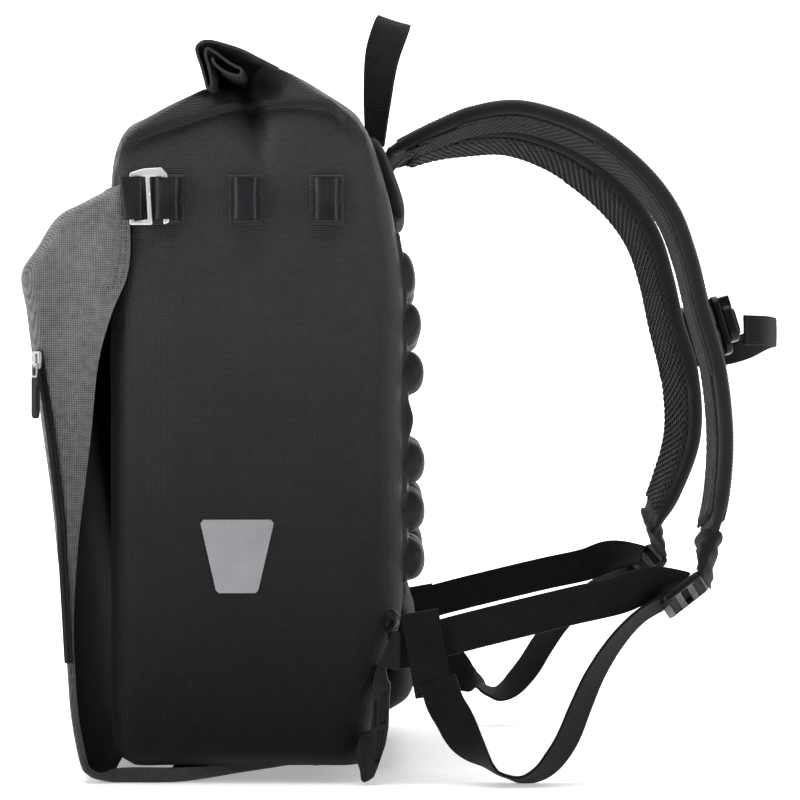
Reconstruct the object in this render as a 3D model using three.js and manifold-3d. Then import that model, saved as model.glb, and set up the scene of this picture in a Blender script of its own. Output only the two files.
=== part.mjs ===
// Roll-top bicycle backpack, in millimetres. X runs from the front cover to the wearer's side,
// Y across the pack and Z up. The origin is the middle of the flat strip that it rests on.
import * as THREE from 'three';
import { mergeVertices } from 'three/addons/utils/BufferGeometryUtils.js';
import Module from 'manifold-3d';

const wasm = await Module();
wasm.setup();

// Driving sizes of the bag
const bagDepth = 194;
const bagHeight = 480;
const bagWidth = 300;
const bagLift = 11;
const frontWallX = -28;
const fabricWall = 2;
const frontCorner = 22;
const backCorner = 26;
const seatGap = 0.3;

// Driving sizes of the front cover
const coverReach = 58;
const coverHeight = 393;
const coverCorner = 14;
const tongueLength = 128;

// Driving sizes of the straps and the webbing
const webbingWidth = 25;
const webbingThickness = 2;
const strapReach = 215;
const strapHeight = 450;
const strapWidth = 68;
const strapPad = 9;
const strapMesh = 3.4;
const strapRail = 1.8;
const chestWebbingWidth = 21;
const chestBow = 47;
const tailDropNear = 112;
const tailDropFar = 98;

// Driving sizes of the back and the small fittings
const backPanelWidth = 252;
const backPanelThickness = 3;
const domeProud = 12;
const domeRadius = 14;
const yokeWidth = 150;
const yokeThickness = 7;
const lumbarWidth = 220;
const lumbarThickness = 12;
const haulHeight = 90;
const loopSpan = 18;
const loopHeight = 28;
const loopClear = 6.2;
const patchThickness = 0.8;
const hookWire = 3;
const hookThickness = 2;
const reflectorSize = 48;
const lockLength = 34;
const lockWidth = 33;
const lockThickness = 5;
const clipHeight = 78;
const clipDepth = 22;
const clipWidth = 9;
const zipWidth = 7;
const zipThickness = 1.2;
const pullLength = 32;
const pullWidth = 6.4;
const knobDiameter = 9;
const capDiameter = 15;
const capHeight = 4;

const halfBag = bagWidth / 2;
const backWallX = frontWallX + bagDepth;

const depthAt = (share) => frontWallX + share * bagDepth;
const heightAt = (share) => bagLift + share * bagHeight;
const radians = THREE.MathUtils.degToRad;
const across = new THREE.Vector3(0, 1, 0);

function finish(color, roughness, metalness = 0) {
  return new THREE.MeshStandardMaterial({ color, roughness, metalness });
}

const coatedFabric = finish(0x34363a, 0.55);
const coverFabric = finish(0x5c5d5b, 0.6);
const webbingFinish = finish(0x1d1c20, 0.85);
const paddedFabric = finish(0x17171a, 0.8);
const airMesh = finish(0x454547, 0.9);
const mouldedPlastic = finish(0x121214, 0.45);
const brightAluminium = finish(0xe4e6e8, 0.25, 1);
const reflectiveFilm = finish(0x9d9da3, 0.4);
const zipCoil = finish(0x101012, 0.6);

// Makes a closed geometry from points and triangles, with its faces pointing out.
function closedGeometry(points, triangles) {
  let volume = 0;
  for (const [a, b, c] of triangles) {
    volume += points[a].dot(new THREE.Vector3().crossVectors(points[b], points[c]));
  }
  const faces = volume < 0 ? triangles.map(([a, b, c]) => [a, c, b]) : triangles;
  const geometry = new THREE.BufferGeometry();
  geometry.setAttribute('position', new THREE.Float32BufferAttribute(points.flatMap((p) => p.toArray()), 3));
  geometry.setIndex(faces.flat());
  return geometry;
}

// Adds the wall between two rows of points, which close on themselves where asked.
function addWall(triangles, first, second, count, closed) {
  const last = closed ? count : count - 1;
  for (let i = 0; i < last; i++) {
    const next = (i + 1) % count;
    triangles.push([first + i, first + next, second + next], [first + i, second + next, second + i]);
  }
}

// Closes a convex ring with a fan round its middle point.
function addCap(points, triangles, start, count, flip) {
  const middle = new THREE.Vector3();
  for (let i = 0; i < count; i++) middle.add(points[start + i]);
  points.push(middle.divideScalar(count));
  const hub = points.length - 1;
  for (let i = 0; i < count; i++) {
    const next = start + ((i + 1) % count);
    triangles.push(flip ? [hub, next, start + i] : [hub, start + i, next]);
  }
}

// Lofts closed rings into a solid with flat ends.
function loftSolid(rings) {
  const count = rings[0].length;
  const points = rings.flat();
  const triangles = [];
  for (let row = 0; row + 1 < rings.length; row++) {
    addWall(triangles, row * count, (row + 1) * count, count, true);
  }
  addCap(points, triangles, 0, count, true);
  addCap(points, triangles, (rings.length - 1) * count, count, false);
  return closedGeometry(points, triangles);
}

// Lofts an open vessel from outer and inner rings, which meet at its rim.
function loftVessel(outer, inner) {
  const count = outer[0].length;
  const points = [...outer.flat(), ...inner.flat()];
  const innerStart = outer.length * count;
  const triangles = [];
  for (let row = 0; row + 1 < outer.length; row++) {
    addWall(triangles, row * count, (row + 1) * count, count, true);
  }
  for (let row = 0; row + 1 < inner.length; row++) {
    addWall(triangles, innerStart + (row + 1) * count, innerStart + row * count, count, true);
  }
  addWall(triangles, (outer.length - 1) * count, innerStart + (inner.length - 1) * count, count, true);
  addCap(points, triangles, 0, count, true);
  addCap(points, triangles, innerStart, count, false);
  return closedGeometry(points, triangles);
}

// Makes a sheet with a wall from an outer and an inner grid of equal size.
function sheetSolid(outer, inner) {
  const rows = outer.length;
  const columns = outer[0].length;
  const points = [...outer.flat(), ...inner.flat()];
  const innerStart = rows * columns;
  const triangles = [];
  for (let row = 0; row + 1 < rows; row++) {
    addWall(triangles, row * columns, (row + 1) * columns, columns, false);
    addWall(triangles, innerStart + (row + 1) * columns, innerStart + row * columns, columns, false);
    for (const column of [0, columns - 1]) {
      const here = row * columns + column;
      const there = here + columns;
      const rim = [[here, there, innerStart + there], [here, innerStart + there, innerStart + here]];
      triangles.push(...(column === 0 ? rim : rim.map(([a, b, c]) => [a, c, b])));
    }
  }
  addWall(triangles, innerStart, 0, columns, false);
  addWall(triangles, (rows - 1) * columns, innerStart + (rows - 1) * columns, columns, false);
  return closedGeometry(points, triangles);
}

// Extrudes an outline drawn in X and Z across the pack, from one Y to a larger one.
function extrudeAcross(outline, fromY, toY, holes = []) {
  const shape = new THREE.Shape(outline.map(([x, z]) => new THREE.Vector2(x, z)));
  shape.holes = holes.map((hole) => new THREE.Path(hole.map(([x, z]) => new THREE.Vector2(x, z))));
  const geometry = new THREE.ExtrudeGeometry(shape, { depth: toY - fromY, bevelEnabled: false });
  const turn = new THREE.Matrix4().makeBasis(
    new THREE.Vector3(1, 0, 0), new THREE.Vector3(0, 0, 1), new THREE.Vector3(0, -1, 0),
  );
  return geometry.applyMatrix4(turn.setPosition(0, toY, 0));
}

// Extrudes an outline drawn in X and Y upwards between two heights.
function extrudeUp(outline, fromZ, toZ, holes = []) {
  const shape = new THREE.Shape(outline.map(([x, y]) => new THREE.Vector2(x, y)));
  shape.holes = holes.map((hole) => new THREE.Path(hole.map(([x, y]) => new THREE.Vector2(x, y))));
  return new THREE.ExtrudeGeometry(shape, { depth: toZ - fromZ, bevelEnabled: false }).translate(0, 0, fromZ);
}

// Gives the corners of a box outline in order.
function boxOutline(x0, y0, x1, y1) {
  return [[x0, y0], [x1, y0], [x1, y1], [x0, y1]];
}

// Copies a geometry to the other side of the pack.
function mirrored(geometry) {
  const copy = geometry.index ? geometry.toNonIndexed() : geometry.clone();
  const position = copy.getAttribute('position');
  for (let i = 0; i < position.count; i += 3) {
    const corners = [0, 2, 1].map((k) => new THREE.Vector3().fromBufferAttribute(position, i + k));
    corners.forEach((corner, k) => position.setXYZ(i + k, corner.x, -corner.y, corner.z));
  }
  return copy;
}

function toManifold(geometry) {
  const bare = geometry.clone();
  for (const name of ['normal', 'uv']) bare.deleteAttribute(name);
  const merged = mergeVertices(bare, 1e-4);
  return new wasm.Manifold(new wasm.Mesh({
    numProp: 3,
    vertProperties: new Float32Array(merged.getAttribute('position').array),
    triVerts: new Uint32Array(merged.index.array),
  }));
}

function fromManifold(solid) {
  const mesh = solid.getMesh();
  const geometry = new THREE.BufferGeometry();
  geometry.setAttribute('position', new THREE.BufferAttribute(mesh.vertProperties, 3));
  geometry.setIndex(new THREE.BufferAttribute(mesh.triVerts, 1));
  return geometry;
}

// Works out points, tangents and width directions along a flat band from its few stations.
// A station holds its place, its width and its twist away from lying straight across the pack.
function bandStations(stations, steps) {
  const path = new THREE.CatmullRomCurve3(stations.map((s) => s.place), false, 'centripetal');
  const sizes = new THREE.CatmullRomCurve3(
    stations.map((s) => new THREE.Vector3(s.width, s.twist, 0)), false, 'centripetal',
  );
  const band = [];
  for (let i = 0; i <= steps; i++) {
    const at = i / steps;
    const tangent = path.getTangent(at);
    const size = sizes.getPoint(at);
    const side = across.clone().addScaledVector(tangent, -tangent.dot(across)).normalize();
    side.applyAxisAngle(tangent, radians(size.y));
    const normal = tangent.clone().cross(side);
    band.push({ place: path.getPoint(at), tangent, side, normal, width: size.x });
  }
  return band;
}

// Gives a flat band its thickness, shifted along its normal, with its corners cut by a chamfer.
function bandSolid(band, { thickness, shift = 0, widthShare = 1, chamfer = 0 }) {
  const rings = band.map(({ place, side, normal, width }) => {
    const half = width * widthShare / 2;
    const thick = thickness / 2;
    const cut = Math.min(chamfer, half * 0.6, thick * 0.8);
    const corners = cut > 0
      ? [[half - cut, -thick], [half, cut - thick], [half, thick - cut], [half - cut, thick],
        [cut - half, thick], [-half, thick - cut], [-half, cut - thick], [cut - half, -thick]]
      : [[half, -thick], [half, thick], [-half, thick], [-half, -thick]];
    return corners.map(([w, n]) => place.clone().addScaledVector(side, w).addScaledVector(normal, n + shift));
  });
  return loftSolid(rings);
}

// Levels of the main bag, from its underside to its mouth. Depths are shares of bagDepth, heights of
// bagHeight, half widths and tucks of half the bagWidth, and corners of the corner radii.
const bagLevels = [
  { frontX: 0.072, frontZ: 0, backX: 0.856, backZ: 0, half: 0.9, tuck: 0, corner: 0.6 },
  { frontX: 0.02, frontZ: 0.021, backX: 0.881, backZ: 0.023, half: 0.975, tuck: 0, corner: 0.85 },
  { frontX: 0, frontZ: 0.071, backX: 0.907, backZ: 0.081, half: 1, tuck: 0, corner: 1 },
  { frontX: 0, frontZ: 0.169, backX: 0.978, backZ: 0.175, half: 1, tuck: 0, corner: 1 },
  { frontX: 0, frontZ: 0.238, backX: 1, backZ: 0.244, half: 1, tuck: 0, corner: 1 },
  { frontX: 0, frontZ: 0.665, backX: 1, backZ: 0.665, half: 1, tuck: 0, corner: 1 },
  { frontX: 0, frontZ: 0.748, backX: 0.969, backZ: 0.752, half: 1, tuck: 0, corner: 1 },
  { frontX: 0.005, frontZ: 0.8, backX: 0.941, backZ: 0.806, half: 1, tuck: 0.02, corner: 0.95 },
  { frontX: 0.031, frontZ: 0.846, backX: 0.905, backZ: 0.85, half: 1, tuck: 0.06, corner: 0.85 },
  { frontX: 0.077, frontZ: 0.879, backX: 0.871, backZ: 0.881, half: 1.005, tuck: 0.13, corner: 0.65 },
  { frontX: 0.139, frontZ: 0.896, backX: 0.83, backZ: 0.904, half: 1.01, tuck: 0.22, corner: 0.45 },
  { frontX: 0.206, frontZ: 0.91, backX: 0.727, backZ: 0.931, half: 1.015, tuck: 0.34, corner: 0.3 },
  { frontX: 0.268, frontZ: 0.923, backX: 0.628, backZ: 0.953, half: 1.02, tuck: 0.45, corner: 0.18 },
  { frontX: 0.32, frontZ: 0.932, backX: 0.536, backZ: 0.967, half: 1.02, tuck: 0.56, corner: 0.1 },
];
const tuckPower = 1.25;
const cornerSteps = 3;
const sideSteps = 8;

// Works out one level of the bag as a closed ring. The wall inside a slanting tuck is measured square to it.
function bagRing(level, inset) {
  const front = new THREE.Vector3(depthAt(level.frontX), 0, heightAt(level.frontZ));
  const back = new THREE.Vector3(depthAt(level.backX), 0, heightAt(level.backZ));
  const along = back.clone().sub(front);
  const fullLength = along.length();
  along.normalize();
  const slope = tuckPower * level.tuck * halfBag / (fullLength / 2);
  const half = level.half * halfBag - inset * (slope + Math.sqrt(1 + slope * slope));
  const tuck = level.tuck * halfBag - inset * slope;
  const length = fullLength - 2 * inset;
  const frontRadius = Math.max(level.corner * frontCorner - inset, 0.6);
  const backRadius = Math.max(level.corner * backCorner - inset, 0.6);
  const tuckAt = (x) => tuck * (1 - Math.abs(2 * x / length - 1) ** tuckPower);
  const profile = [];
  for (let i = 0; i <= cornerSteps; i++) {
    const angle = i * Math.PI / 2 / cornerSteps;
    const x = frontRadius * (1 - Math.cos(angle));
    profile.push([x, half - tuckAt(x) - frontRadius * (1 - Math.sin(angle))]);
  }
  for (let i = 1; i < sideSteps; i++) {
    const x = frontRadius + (length - frontRadius - backRadius) * i / sideSteps;
    profile.push([x, half - tuckAt(x)]);
  }
  for (let i = cornerSteps; i >= 0; i--) {
    const angle = i * Math.PI / 2 / cornerSteps;
    const x = length - backRadius * (1 - Math.cos(angle));
    profile.push([x, half - tuckAt(x) - backRadius * (1 - Math.sin(angle))]);
  }
  const place = ([x, y], side) => front.clone().addScaledVector(along, x + inset).setY(side * y);
  return [...profile.map((p) => place(p, -1)), ...profile.reverse().map((p) => place(p, 1))];
}

function bagShell() {
  const outer = bagLevels.map((level) => bagRing(level, 0));
  const inner = bagLevels.map((level) => bagRing(level, fabricWall));
  for (const point of inner[0]) point.z += fabricWall;
  return loftVessel(outer, inner);
}

// Gives the bag's back wall at a height, between its levels.
function backWallAt(z) {
  const rows = bagLevels.map((level) => [heightAt(level.backZ), depthAt(level.backX)]);
  for (let i = 0; i + 1 < rows.length; i++) {
    const [[z0, x0], [z1, x1]] = [rows[i], rows[i + 1]];
    if (z <= z1) return x0 + (x1 - x0) * (z - z0) / (z1 - z0);
  }
  return rows[rows.length - 1][1];
}

// The rolled mouth: front and back layers fold over a tip, with gaps between the turns inside.
// It sits on the mouth's own line, and its places are shares of the mouth's length and of bagHeight.
function rollClosure() {
  const mouth = bagLevels[bagLevels.length - 1];
  const foot = new THREE.Vector2(depthAt(mouth.frontX), heightAt(mouth.frontZ));
  const heel = new THREE.Vector2(depthAt(mouth.backX), heightAt(mouth.backZ));
  const top = heightAt(1);
  const rise = top - foot.y;
  const run = heel.x - foot.x;
  const place = (along, up) => {
    const base = foot.clone().lerp(heel, along);
    return [base.x, base.y + seatGap + up * rise];
  };
  const outline = [
    place(0.01, 0), place(0.99, 0), [foot.x + run * 0.6, top - rise * 0.2], [foot.x + run * 0.04, top],
    [foot.x - run * 0.07, top - rise * 0.03], [foot.x - run * 0.1, top - rise * 0.12],
  ];
  const outerGap = [
    place(0.02, 0.73), place(0.1, 0.62), place(0.62, 0.1), place(0.7, 0.16), place(0.62, 0.25),
  ];
  const innerGap = [
    place(0.1, 0.46), place(0.2, 0.28), place(0.48, 0.08), place(0.5, 0.12), place(0.24, 0.36),
  ];
  const halfRoll = mouth.half * halfBag;
  return extrudeAcross(outline, -halfRoll, halfRoll, [outerGap, innerGap]);
}

// Rows of the front cover, from its top edge down the front and under the bag. The front line and the wing's
// edge are shares of coverReach ahead of the bag and of coverHeight, and half widths of the cover's.
const coverRows = [
  { frontX: 0.035, frontZ: 0.996, edgeX: -0.19, edgeZ: 1.004, half: 0.99 },
  { frontX: 0.3, frontZ: 0.975, edgeX: -0.235, edgeZ: 0.977, half: 1 },
  { frontX: 0.586, frontZ: 0.951, edgeX: -0.26, edgeZ: 0.944, half: 1 },
  { frontX: 0.81, frontZ: 0.901, edgeX: -0.267, edgeZ: 0.888, half: 1 },
  { frontX: 1, frontZ: 0.855, edgeX: -0.224, edgeZ: 0.847, half: 1 },
  { frontX: 0.936, frontZ: 0.791, edgeX: -0.052, edgeZ: 0.784, half: 1 },
  { frontX: 0.876, frontZ: 0.728, edgeX: 0.095, edgeZ: 0.702, half: 1 },
  { frontX: 0.741, frontZ: 0.595, edgeX: 0.172, edgeZ: 0.585, half: 1 },
  { frontX: 0.603, frontZ: 0.407, edgeX: 0.328, edgeZ: 0.399, half: 1 },
  { frontX: 0.517, frontZ: 0.28, edgeX: 0.397, edgeZ: 0.275, half: 0.995 },
  { frontX: 0.466, frontZ: 0.178, edgeX: 0.371, edgeZ: 0.176, half: 0.99 },
  { frontX: 0.428, frontZ: 0.111, edgeX: 0.336, edgeZ: 0.109, half: 0.98 },
  { frontX: 0.336, frontZ: 0.036, edgeX: 0.25, edgeZ: 0.04, half: 0.96 },
  { frontX: 0.224, frontZ: 0.015, edgeX: 0.181, edgeZ: 0.026, half: 0.95 },
  { frontX: 0.086, frontZ: 0.006, edgeX: 0.069, edgeZ: 0.018, half: 0.94 },
];
const wingGap = 0.8;
const restStrip = 38;
const lipHeight = 4;
const tongueDip = 0.44;

// Works out the front line and wing edge of each row in millimetres, with the base tongue at the end.
function coverStations() {
  const halfCover = halfBag + wingGap + fabricWall;
  const stations = coverRows.map((row) => ({
    front: new THREE.Vector2(frontWallX - row.frontX * coverReach, row.frontZ * coverHeight),
    edge: new THREE.Vector2(frontWallX - row.edgeX * coverReach, row.edgeZ * coverHeight),
    half: row.half * halfCover,
  }));
  const tongueEnd = frontWallX + tongueLength;
  const tongueTop = bagLift - seatGap;
  const tongueMiddle = (restStrip / 2 + tongueEnd) / 2;
  const base = [
    { x: -restStrip / 2, z: 0, lip: lipHeight, half: 0.93 },
    { x: restStrip / 2, z: 0, lip: lipHeight, half: 0.92 },
    { x: tongueMiddle, z: (tongueTop - fabricWall) * (1 - tongueDip), lip: lipHeight * 0.75, half: 0.84 },
    { x: tongueEnd, z: tongueTop - fabricWall - seatGap, lip: fabricWall + seatGap, half: 0.7 },
  ];
  for (const { x, z, lip, half } of base) {
    const front = new THREE.Vector2(x, z);
    stations.push({ front, edge: new THREE.Vector2(x, z + lip), half: half * halfCover });
  }
  return stations;
}

// Works out one row of the cover's tray: wing, rounded corner, front, corner and wing.
function coverRow({ front, edge, half }, radiusLimit) {
  const wing = edge.clone().sub(front);
  const depth = wing.length();
  const radius = Math.min(radiusLimit, depth * 0.75);
  wing.normalize();
  const near = [[depth, half], [(depth + radius) / 2, half]];
  for (let i = 0; i <= cornerSteps; i++) {
    const angle = i * Math.PI / 2 / cornerSteps;
    near.push([radius * (1 - Math.sin(angle)), half - radius * (1 - Math.cos(angle))]);
  }
  const place = ([into, y], side) => (
    new THREE.Vector3(front.x + wing.x * into, side * y, front.y + wing.y * into)
  );
  const middle = new THREE.Vector3(front.x, 0, front.y);
  return [...near.map((p) => place(p, -1)), middle, ...near.reverse().map((p) => place(p, 1))];
}

// The direction from the cover's front line into the tray at a row.
function coverInward(stations, row) {
  const before = stations[Math.max(row - 1, 0)].front;
  const after = stations[Math.min(row + 1, stations.length - 1)].front;
  const tangent = after.clone().sub(before).normalize();
  return new THREE.Vector2(-tangent.y, tangent.x);
}

function frontCover() {
  const stations = coverStations();
  const outer = stations.map((station) => coverRow(station, coverCorner));
  const inner = stations.map((station, row) => {
    const front = station.front.clone().addScaledVector(coverInward(stations, row), fabricWall);
    return coverRow({ front, edge: station.edge, half: station.half - fabricWall }, coverCorner - fabricWall);
  });
  return sheetSolid(outer, inner);
}

// Gives a place on the cover's near rounded corner, some rows down and lifted off it.
function coverCornerAt(row, lift) {
  const stations = coverStations();
  const low = stations[Math.floor(row)];
  const high = stations[Math.ceil(row)];
  const share = row - Math.floor(row);
  const front = low.front.clone().lerp(high.front, share);
  const depth = THREE.MathUtils.lerp(low.edge.distanceTo(low.front), high.edge.distanceTo(high.front), share);
  const half = THREE.MathUtils.lerp(low.half, high.half, share);
  const inset = Math.min(coverCorner, depth * 0.75) * (1 - Math.SQRT1_2) - lift * Math.SQRT1_2;
  return new THREE.Vector3(front.x + inset, inset - half, front.y);
}

const zipFirstRow = 5.9;
const zipLastRow = 9.7;
const sliderHeight = 12;
const sliderThickness = 3;

function zipTape() {
  const rows = [zipFirstRow, 7, 8, 9, zipLastRow];
  const lift = seatGap + zipThickness / 2 + 0.3;
  const facing = new THREE.Vector3(1, -1, 0).normalize();
  const rings = rows.map((row) => {
    const place = coverCornerAt(row, lift);
    const outward = new THREE.Vector3(-1, -1, 0).normalize().multiplyScalar(zipThickness / 2);
    const wide = facing.clone().multiplyScalar(zipWidth / 2);
    return [
      place.clone().add(outward).add(wide), place.clone().add(outward).sub(wide),
      place.clone().sub(outward).sub(wide), place.clone().sub(outward).add(wide),
    ];
  });
  return loftSolid(rings);
}

// Makes a small block on the zip, turned to face out of the cover's corner.
function blockOnZip(row, lift, width, height, thickness, drop) {
  const geometry = new THREE.BoxGeometry(thickness, width, height);
  geometry.rotateZ(radians(45));
  const place = coverCornerAt(row, lift);
  return geometry.translate(place.x, place.y, place.z - drop);
}

function zipSlider() {
  const lift = seatGap * 3 + zipThickness + sliderThickness / 2 + 0.5;
  return blockOnZip(zipFirstRow + 0.15, lift, zipWidth, sliderHeight, sliderThickness, 0);
}

function zipPull() {
  const lift = seatGap * 2 + zipThickness + sliderThickness / 2 + 1.5;
  const drop = sliderHeight / 2 + pullLength / 2 + seatGap;
  return blockOnZip(zipFirstRow + 0.15, lift, pullWidth, pullLength, 2, drop);
}

// Side loops: their first edges along the bag's side and the height that they share
const loopPlaces = [0.158, 0.423, 0.696];
const loopCentre = 0.7785;
const patchMargin = 2.2;

// Makes the arch of a sewn loop as an outline in X and Y, with its feet on the side of the bag.
function archOutline(x0, span, footY, clear, thickness) {
  const outer = [];
  const inner = [];
  const steps = 8;
  for (let i = 0; i <= steps; i++) {
    const angle = Math.PI * i / steps;
    const flat = Math.sign(Math.cos(angle)) * Math.abs(Math.cos(angle)) ** 0.6;
    const lift = Math.sin(angle) ** 0.6;
    const middle = x0 + span / 2;
    outer.push([middle - flat * span / 2, footY - lift * (clear + thickness)]);
    inner.push([middle - flat * (span / 2 - thickness), footY - lift * clear]);
  }
  return [...outer, ...inner.reverse()];
}

function sideLoop(index) {
  const x0 = depthAt(loopPlaces[index]);
  const footY = -halfBag - patchThickness - 2 * seatGap;
  const middle = heightAt(loopCentre);
  const outline = archOutline(x0, loopSpan, footY, loopClear, webbingThickness);
  return extrudeUp(outline, middle - loopHeight / 2, middle + loopHeight / 2);
}

function loopPatch(index) {
  const x0 = depthAt(loopPlaces[index]) - patchMargin;
  const x1 = depthAt(loopPlaces[index]) + loopSpan + patchMargin;
  const middle = heightAt(loopCentre);
  const half = loopHeight / 2 + patchMargin;
  const outside = -halfBag - seatGap;
  return extrudeAcross(boxOutline(x0, middle - half, x1, middle + half), outside - patchThickness, outside);
}

// The cover's own loop wraps the hook's captive arm just behind the wing's edge.
const hookY = -halfBag - patchThickness - 2 * seatGap - loopClear + seatGap + hookThickness;
const coverLoopDepth = 13.5;
const coverLoopX = depthAt(loopPlaces[0]) - 20.3;

function coverLoop() {
  const outside = hookY - hookThickness - seatGap - webbingThickness;
  const inside = hookY + seatGap + webbingThickness;
  const outline = boxOutline(coverLoopX, outside, coverLoopX + coverLoopDepth, inside);
  const wall = webbingThickness;
  const hole = boxOutline(
    coverLoopX + wall, outside + wall, coverLoopX + coverLoopDepth - wall, inside - wall,
  );
  const middle = heightAt(loopCentre);
  return extrudeUp(outline, middle - loopHeight / 2, middle + loopHeight / 2, [hole]);
}

// The wire hook: a closed frame through the cover's loop and an open arm in the bag's first loop.
function coverHook() {
  const middle = heightAt(loopCentre);
  const low = middle - loopHeight / 2 - seatGap - hookWire;
  const high = middle + loopHeight / 2 + seatGap;
  const captive = coverLoopX + coverLoopDepth / 2 - hookWire / 2;
  const stem = coverLoopX + coverLoopDepth + 1.3;
  const open = depthAt(loopPlaces[0]) + loopSpan * 0.36;
  const crown = high + hookWire * 2;
  const outline = [
    [captive, low], [stem + hookWire, low], [stem + hookWire, high], [open, high], [open, low + hookWire / 2],
    [open + hookWire, low + hookWire / 2], [open + hookWire, crown - hookWire], [stem + hookWire * 2, crown],
    [stem - hookWire, crown], [captive, crown - hookWire],
  ];
  const hole = boxOutline(captive + hookWire, low + hookWire, stem, high);
  return extrudeAcross(outline, hookY - hookThickness, hookY, [hole]);
}

// The reflective patch is a plain keystone with cut corners.
const reflectorX = 0.442;
const reflectorZ = 0.291;

function reflector() {
  const middle = depthAt(reflectorX);
  const level = heightAt(reflectorZ);
  const half = reflectorSize / 2;
  const outline = [
    [0.92, 1], [1, 0.9], [0.58, -0.92], [0.5, -1], [-0.5, -1], [-0.58, -0.92], [-1, 0.9], [-0.92, 1],
  ].map(([x, z]) => [middle + x * half, level + z * half]);
  const outside = -halfBag - seatGap;
  return extrudeAcross(outline, outside - patchThickness, outside);
}

// Makes a pad on the bag's back from its lower and upper height, following the wall and its bends.
function padOnBack(low, high, thicknessAt, halfY, steps = 6) {
  const bends = bagLevels.map((level) => heightAt(level.backZ)).filter((z) => z > low + 1 && z < high - 1);
  const even = Array.from({ length: steps + 1 }, (_, i) => low + (high - low) * i / steps);
  const heights = [...even.filter((z) => bends.every((bend) => Math.abs(z - bend) > 1)), ...bends];
  const inner = [];
  const outer = [];
  for (const z of heights.sort((a, b) => a - b)) {
    inner.push([backWallAt(z) + 2 * seatGap, z]);
    outer.push([backWallAt(z) + 2 * seatGap + thicknessAt((z - low) / (high - low)), z]);
  }
  return extrudeAcross([...outer, ...inner.reverse()], -halfY, halfY);
}

const panelLow = heightAt(0.245);
const panelHigh = heightAt(0.744);
const yokeLow = heightAt(0.757);
const yokeHigh = heightAt(0.886);
const lumbarLow = heightAt(0.066);
const lumbarHigh = heightAt(0.236);

// Foam domes on the back panel: rows as shares of the panel's height, columns of half its width.
const domeRows = [0.068, 0.203, 0.338, 0.59, 0.725, 0.868];
const domeColumns = [0.86, 0.5];

function backPanel() {
  const plate = padOnBack(panelLow, panelHigh, () => backPanelThickness, backPanelWidth / 2, 8);
  let solid = toManifold(plate);
  const height = panelHigh - panelLow;
  for (const row of domeRows) {
    for (const column of domeColumns) {
      for (const side of [-1, 1]) {
        const z = panelLow + row * height;
        const dome = new THREE.SphereGeometry(1, 10, 6);
        dome.scale(domeProud, domeRadius * 1.15, domeRadius);
        const surface = backWallAt(z) + 2 * seatGap + backPanelThickness;
        dome.translate(surface, side * column * backPanelWidth / 2, z);
        const outward = toManifold(dome).trimByPlane([1, 0, 0], surface - backPanelThickness / 2);
        solid = solid.add(outward);
      }
    }
  }
  return fromManifold(solid);
}

function strapYoke() {
  const bulge = (share) => yokeThickness * (1 + 0.35 * (1 - share) ** 2);
  return padOnBack(yokeLow, yokeHigh, bulge, yokeWidth / 2);
}

function lumbarPad() {
  const bulge = (share) => lumbarThickness * Math.sin(Math.PI * (0.18 + 0.72 * share)) ** 0.6;
  return padOnBack(lumbarLow, lumbarHigh, bulge, lumbarWidth / 2);
}

// The haul loop: a band of webbing that stands on the yoke's upper edge and turns as it rises.
// Depths and heights are shares of haulHeight, sides of webbingWidth; lean is the band's turn.
function haulLoop() {
  const baseX = backWallAt(yokeHigh) + 2 * seatGap + yokeThickness * 0.8;
  const baseZ = yokeHigh + seatGap + 0.4;
  const rows = [
    { depth: 0, height: 0, side: -0.75, width: 0.55 },
    { depth: 0.02, height: 0.35, side: -0.82, width: 0.78 },
    { depth: 0.06, height: 0.7, side: -0.72, width: 0.95 },
    { depth: 0.135, height: 0.93, side: -0.42, width: 1 },
    { depth: 0.155, height: 0.975, side: 0, width: 1 },
    { depth: 0.135, height: 0.93, side: 0.42, width: 1 },
    { depth: 0.06, height: 0.7, side: 0.72, width: 0.95 },
    { depth: 0.02, height: 0.35, side: 0.82, width: 0.78 },
    { depth: 0, height: 0, side: 0.75, width: 0.55 },
  ];
  const curve = new THREE.CatmullRomCurve3(rows.map((row) => new THREE.Vector3(
    baseX + row.depth * haulHeight, row.side * webbingWidth, baseZ + row.height * haulHeight,
  )));
  const widths = new THREE.CatmullRomCurve3(rows.map((row) => (
    new THREE.Vector3(row.width * webbingWidth, 0, 0)
  )));
  const lean = new THREE.Vector3(0.95, 0, -0.3).normalize();
  const band = [];
  const steps = 24;
  for (let i = 0; i <= steps; i++) {
    const tangent = curve.getTangent(i / steps);
    const side = lean.clone().addScaledVector(tangent, -tangent.dot(lean)).normalize();
    const width = widths.getPoint(i / steps).x;
    band.push({ place: curve.getPoint(i / steps), side, normal: tangent.clone().cross(side), width });
  }
  return bandSolid(band, { thickness: webbingThickness });
}

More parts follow.
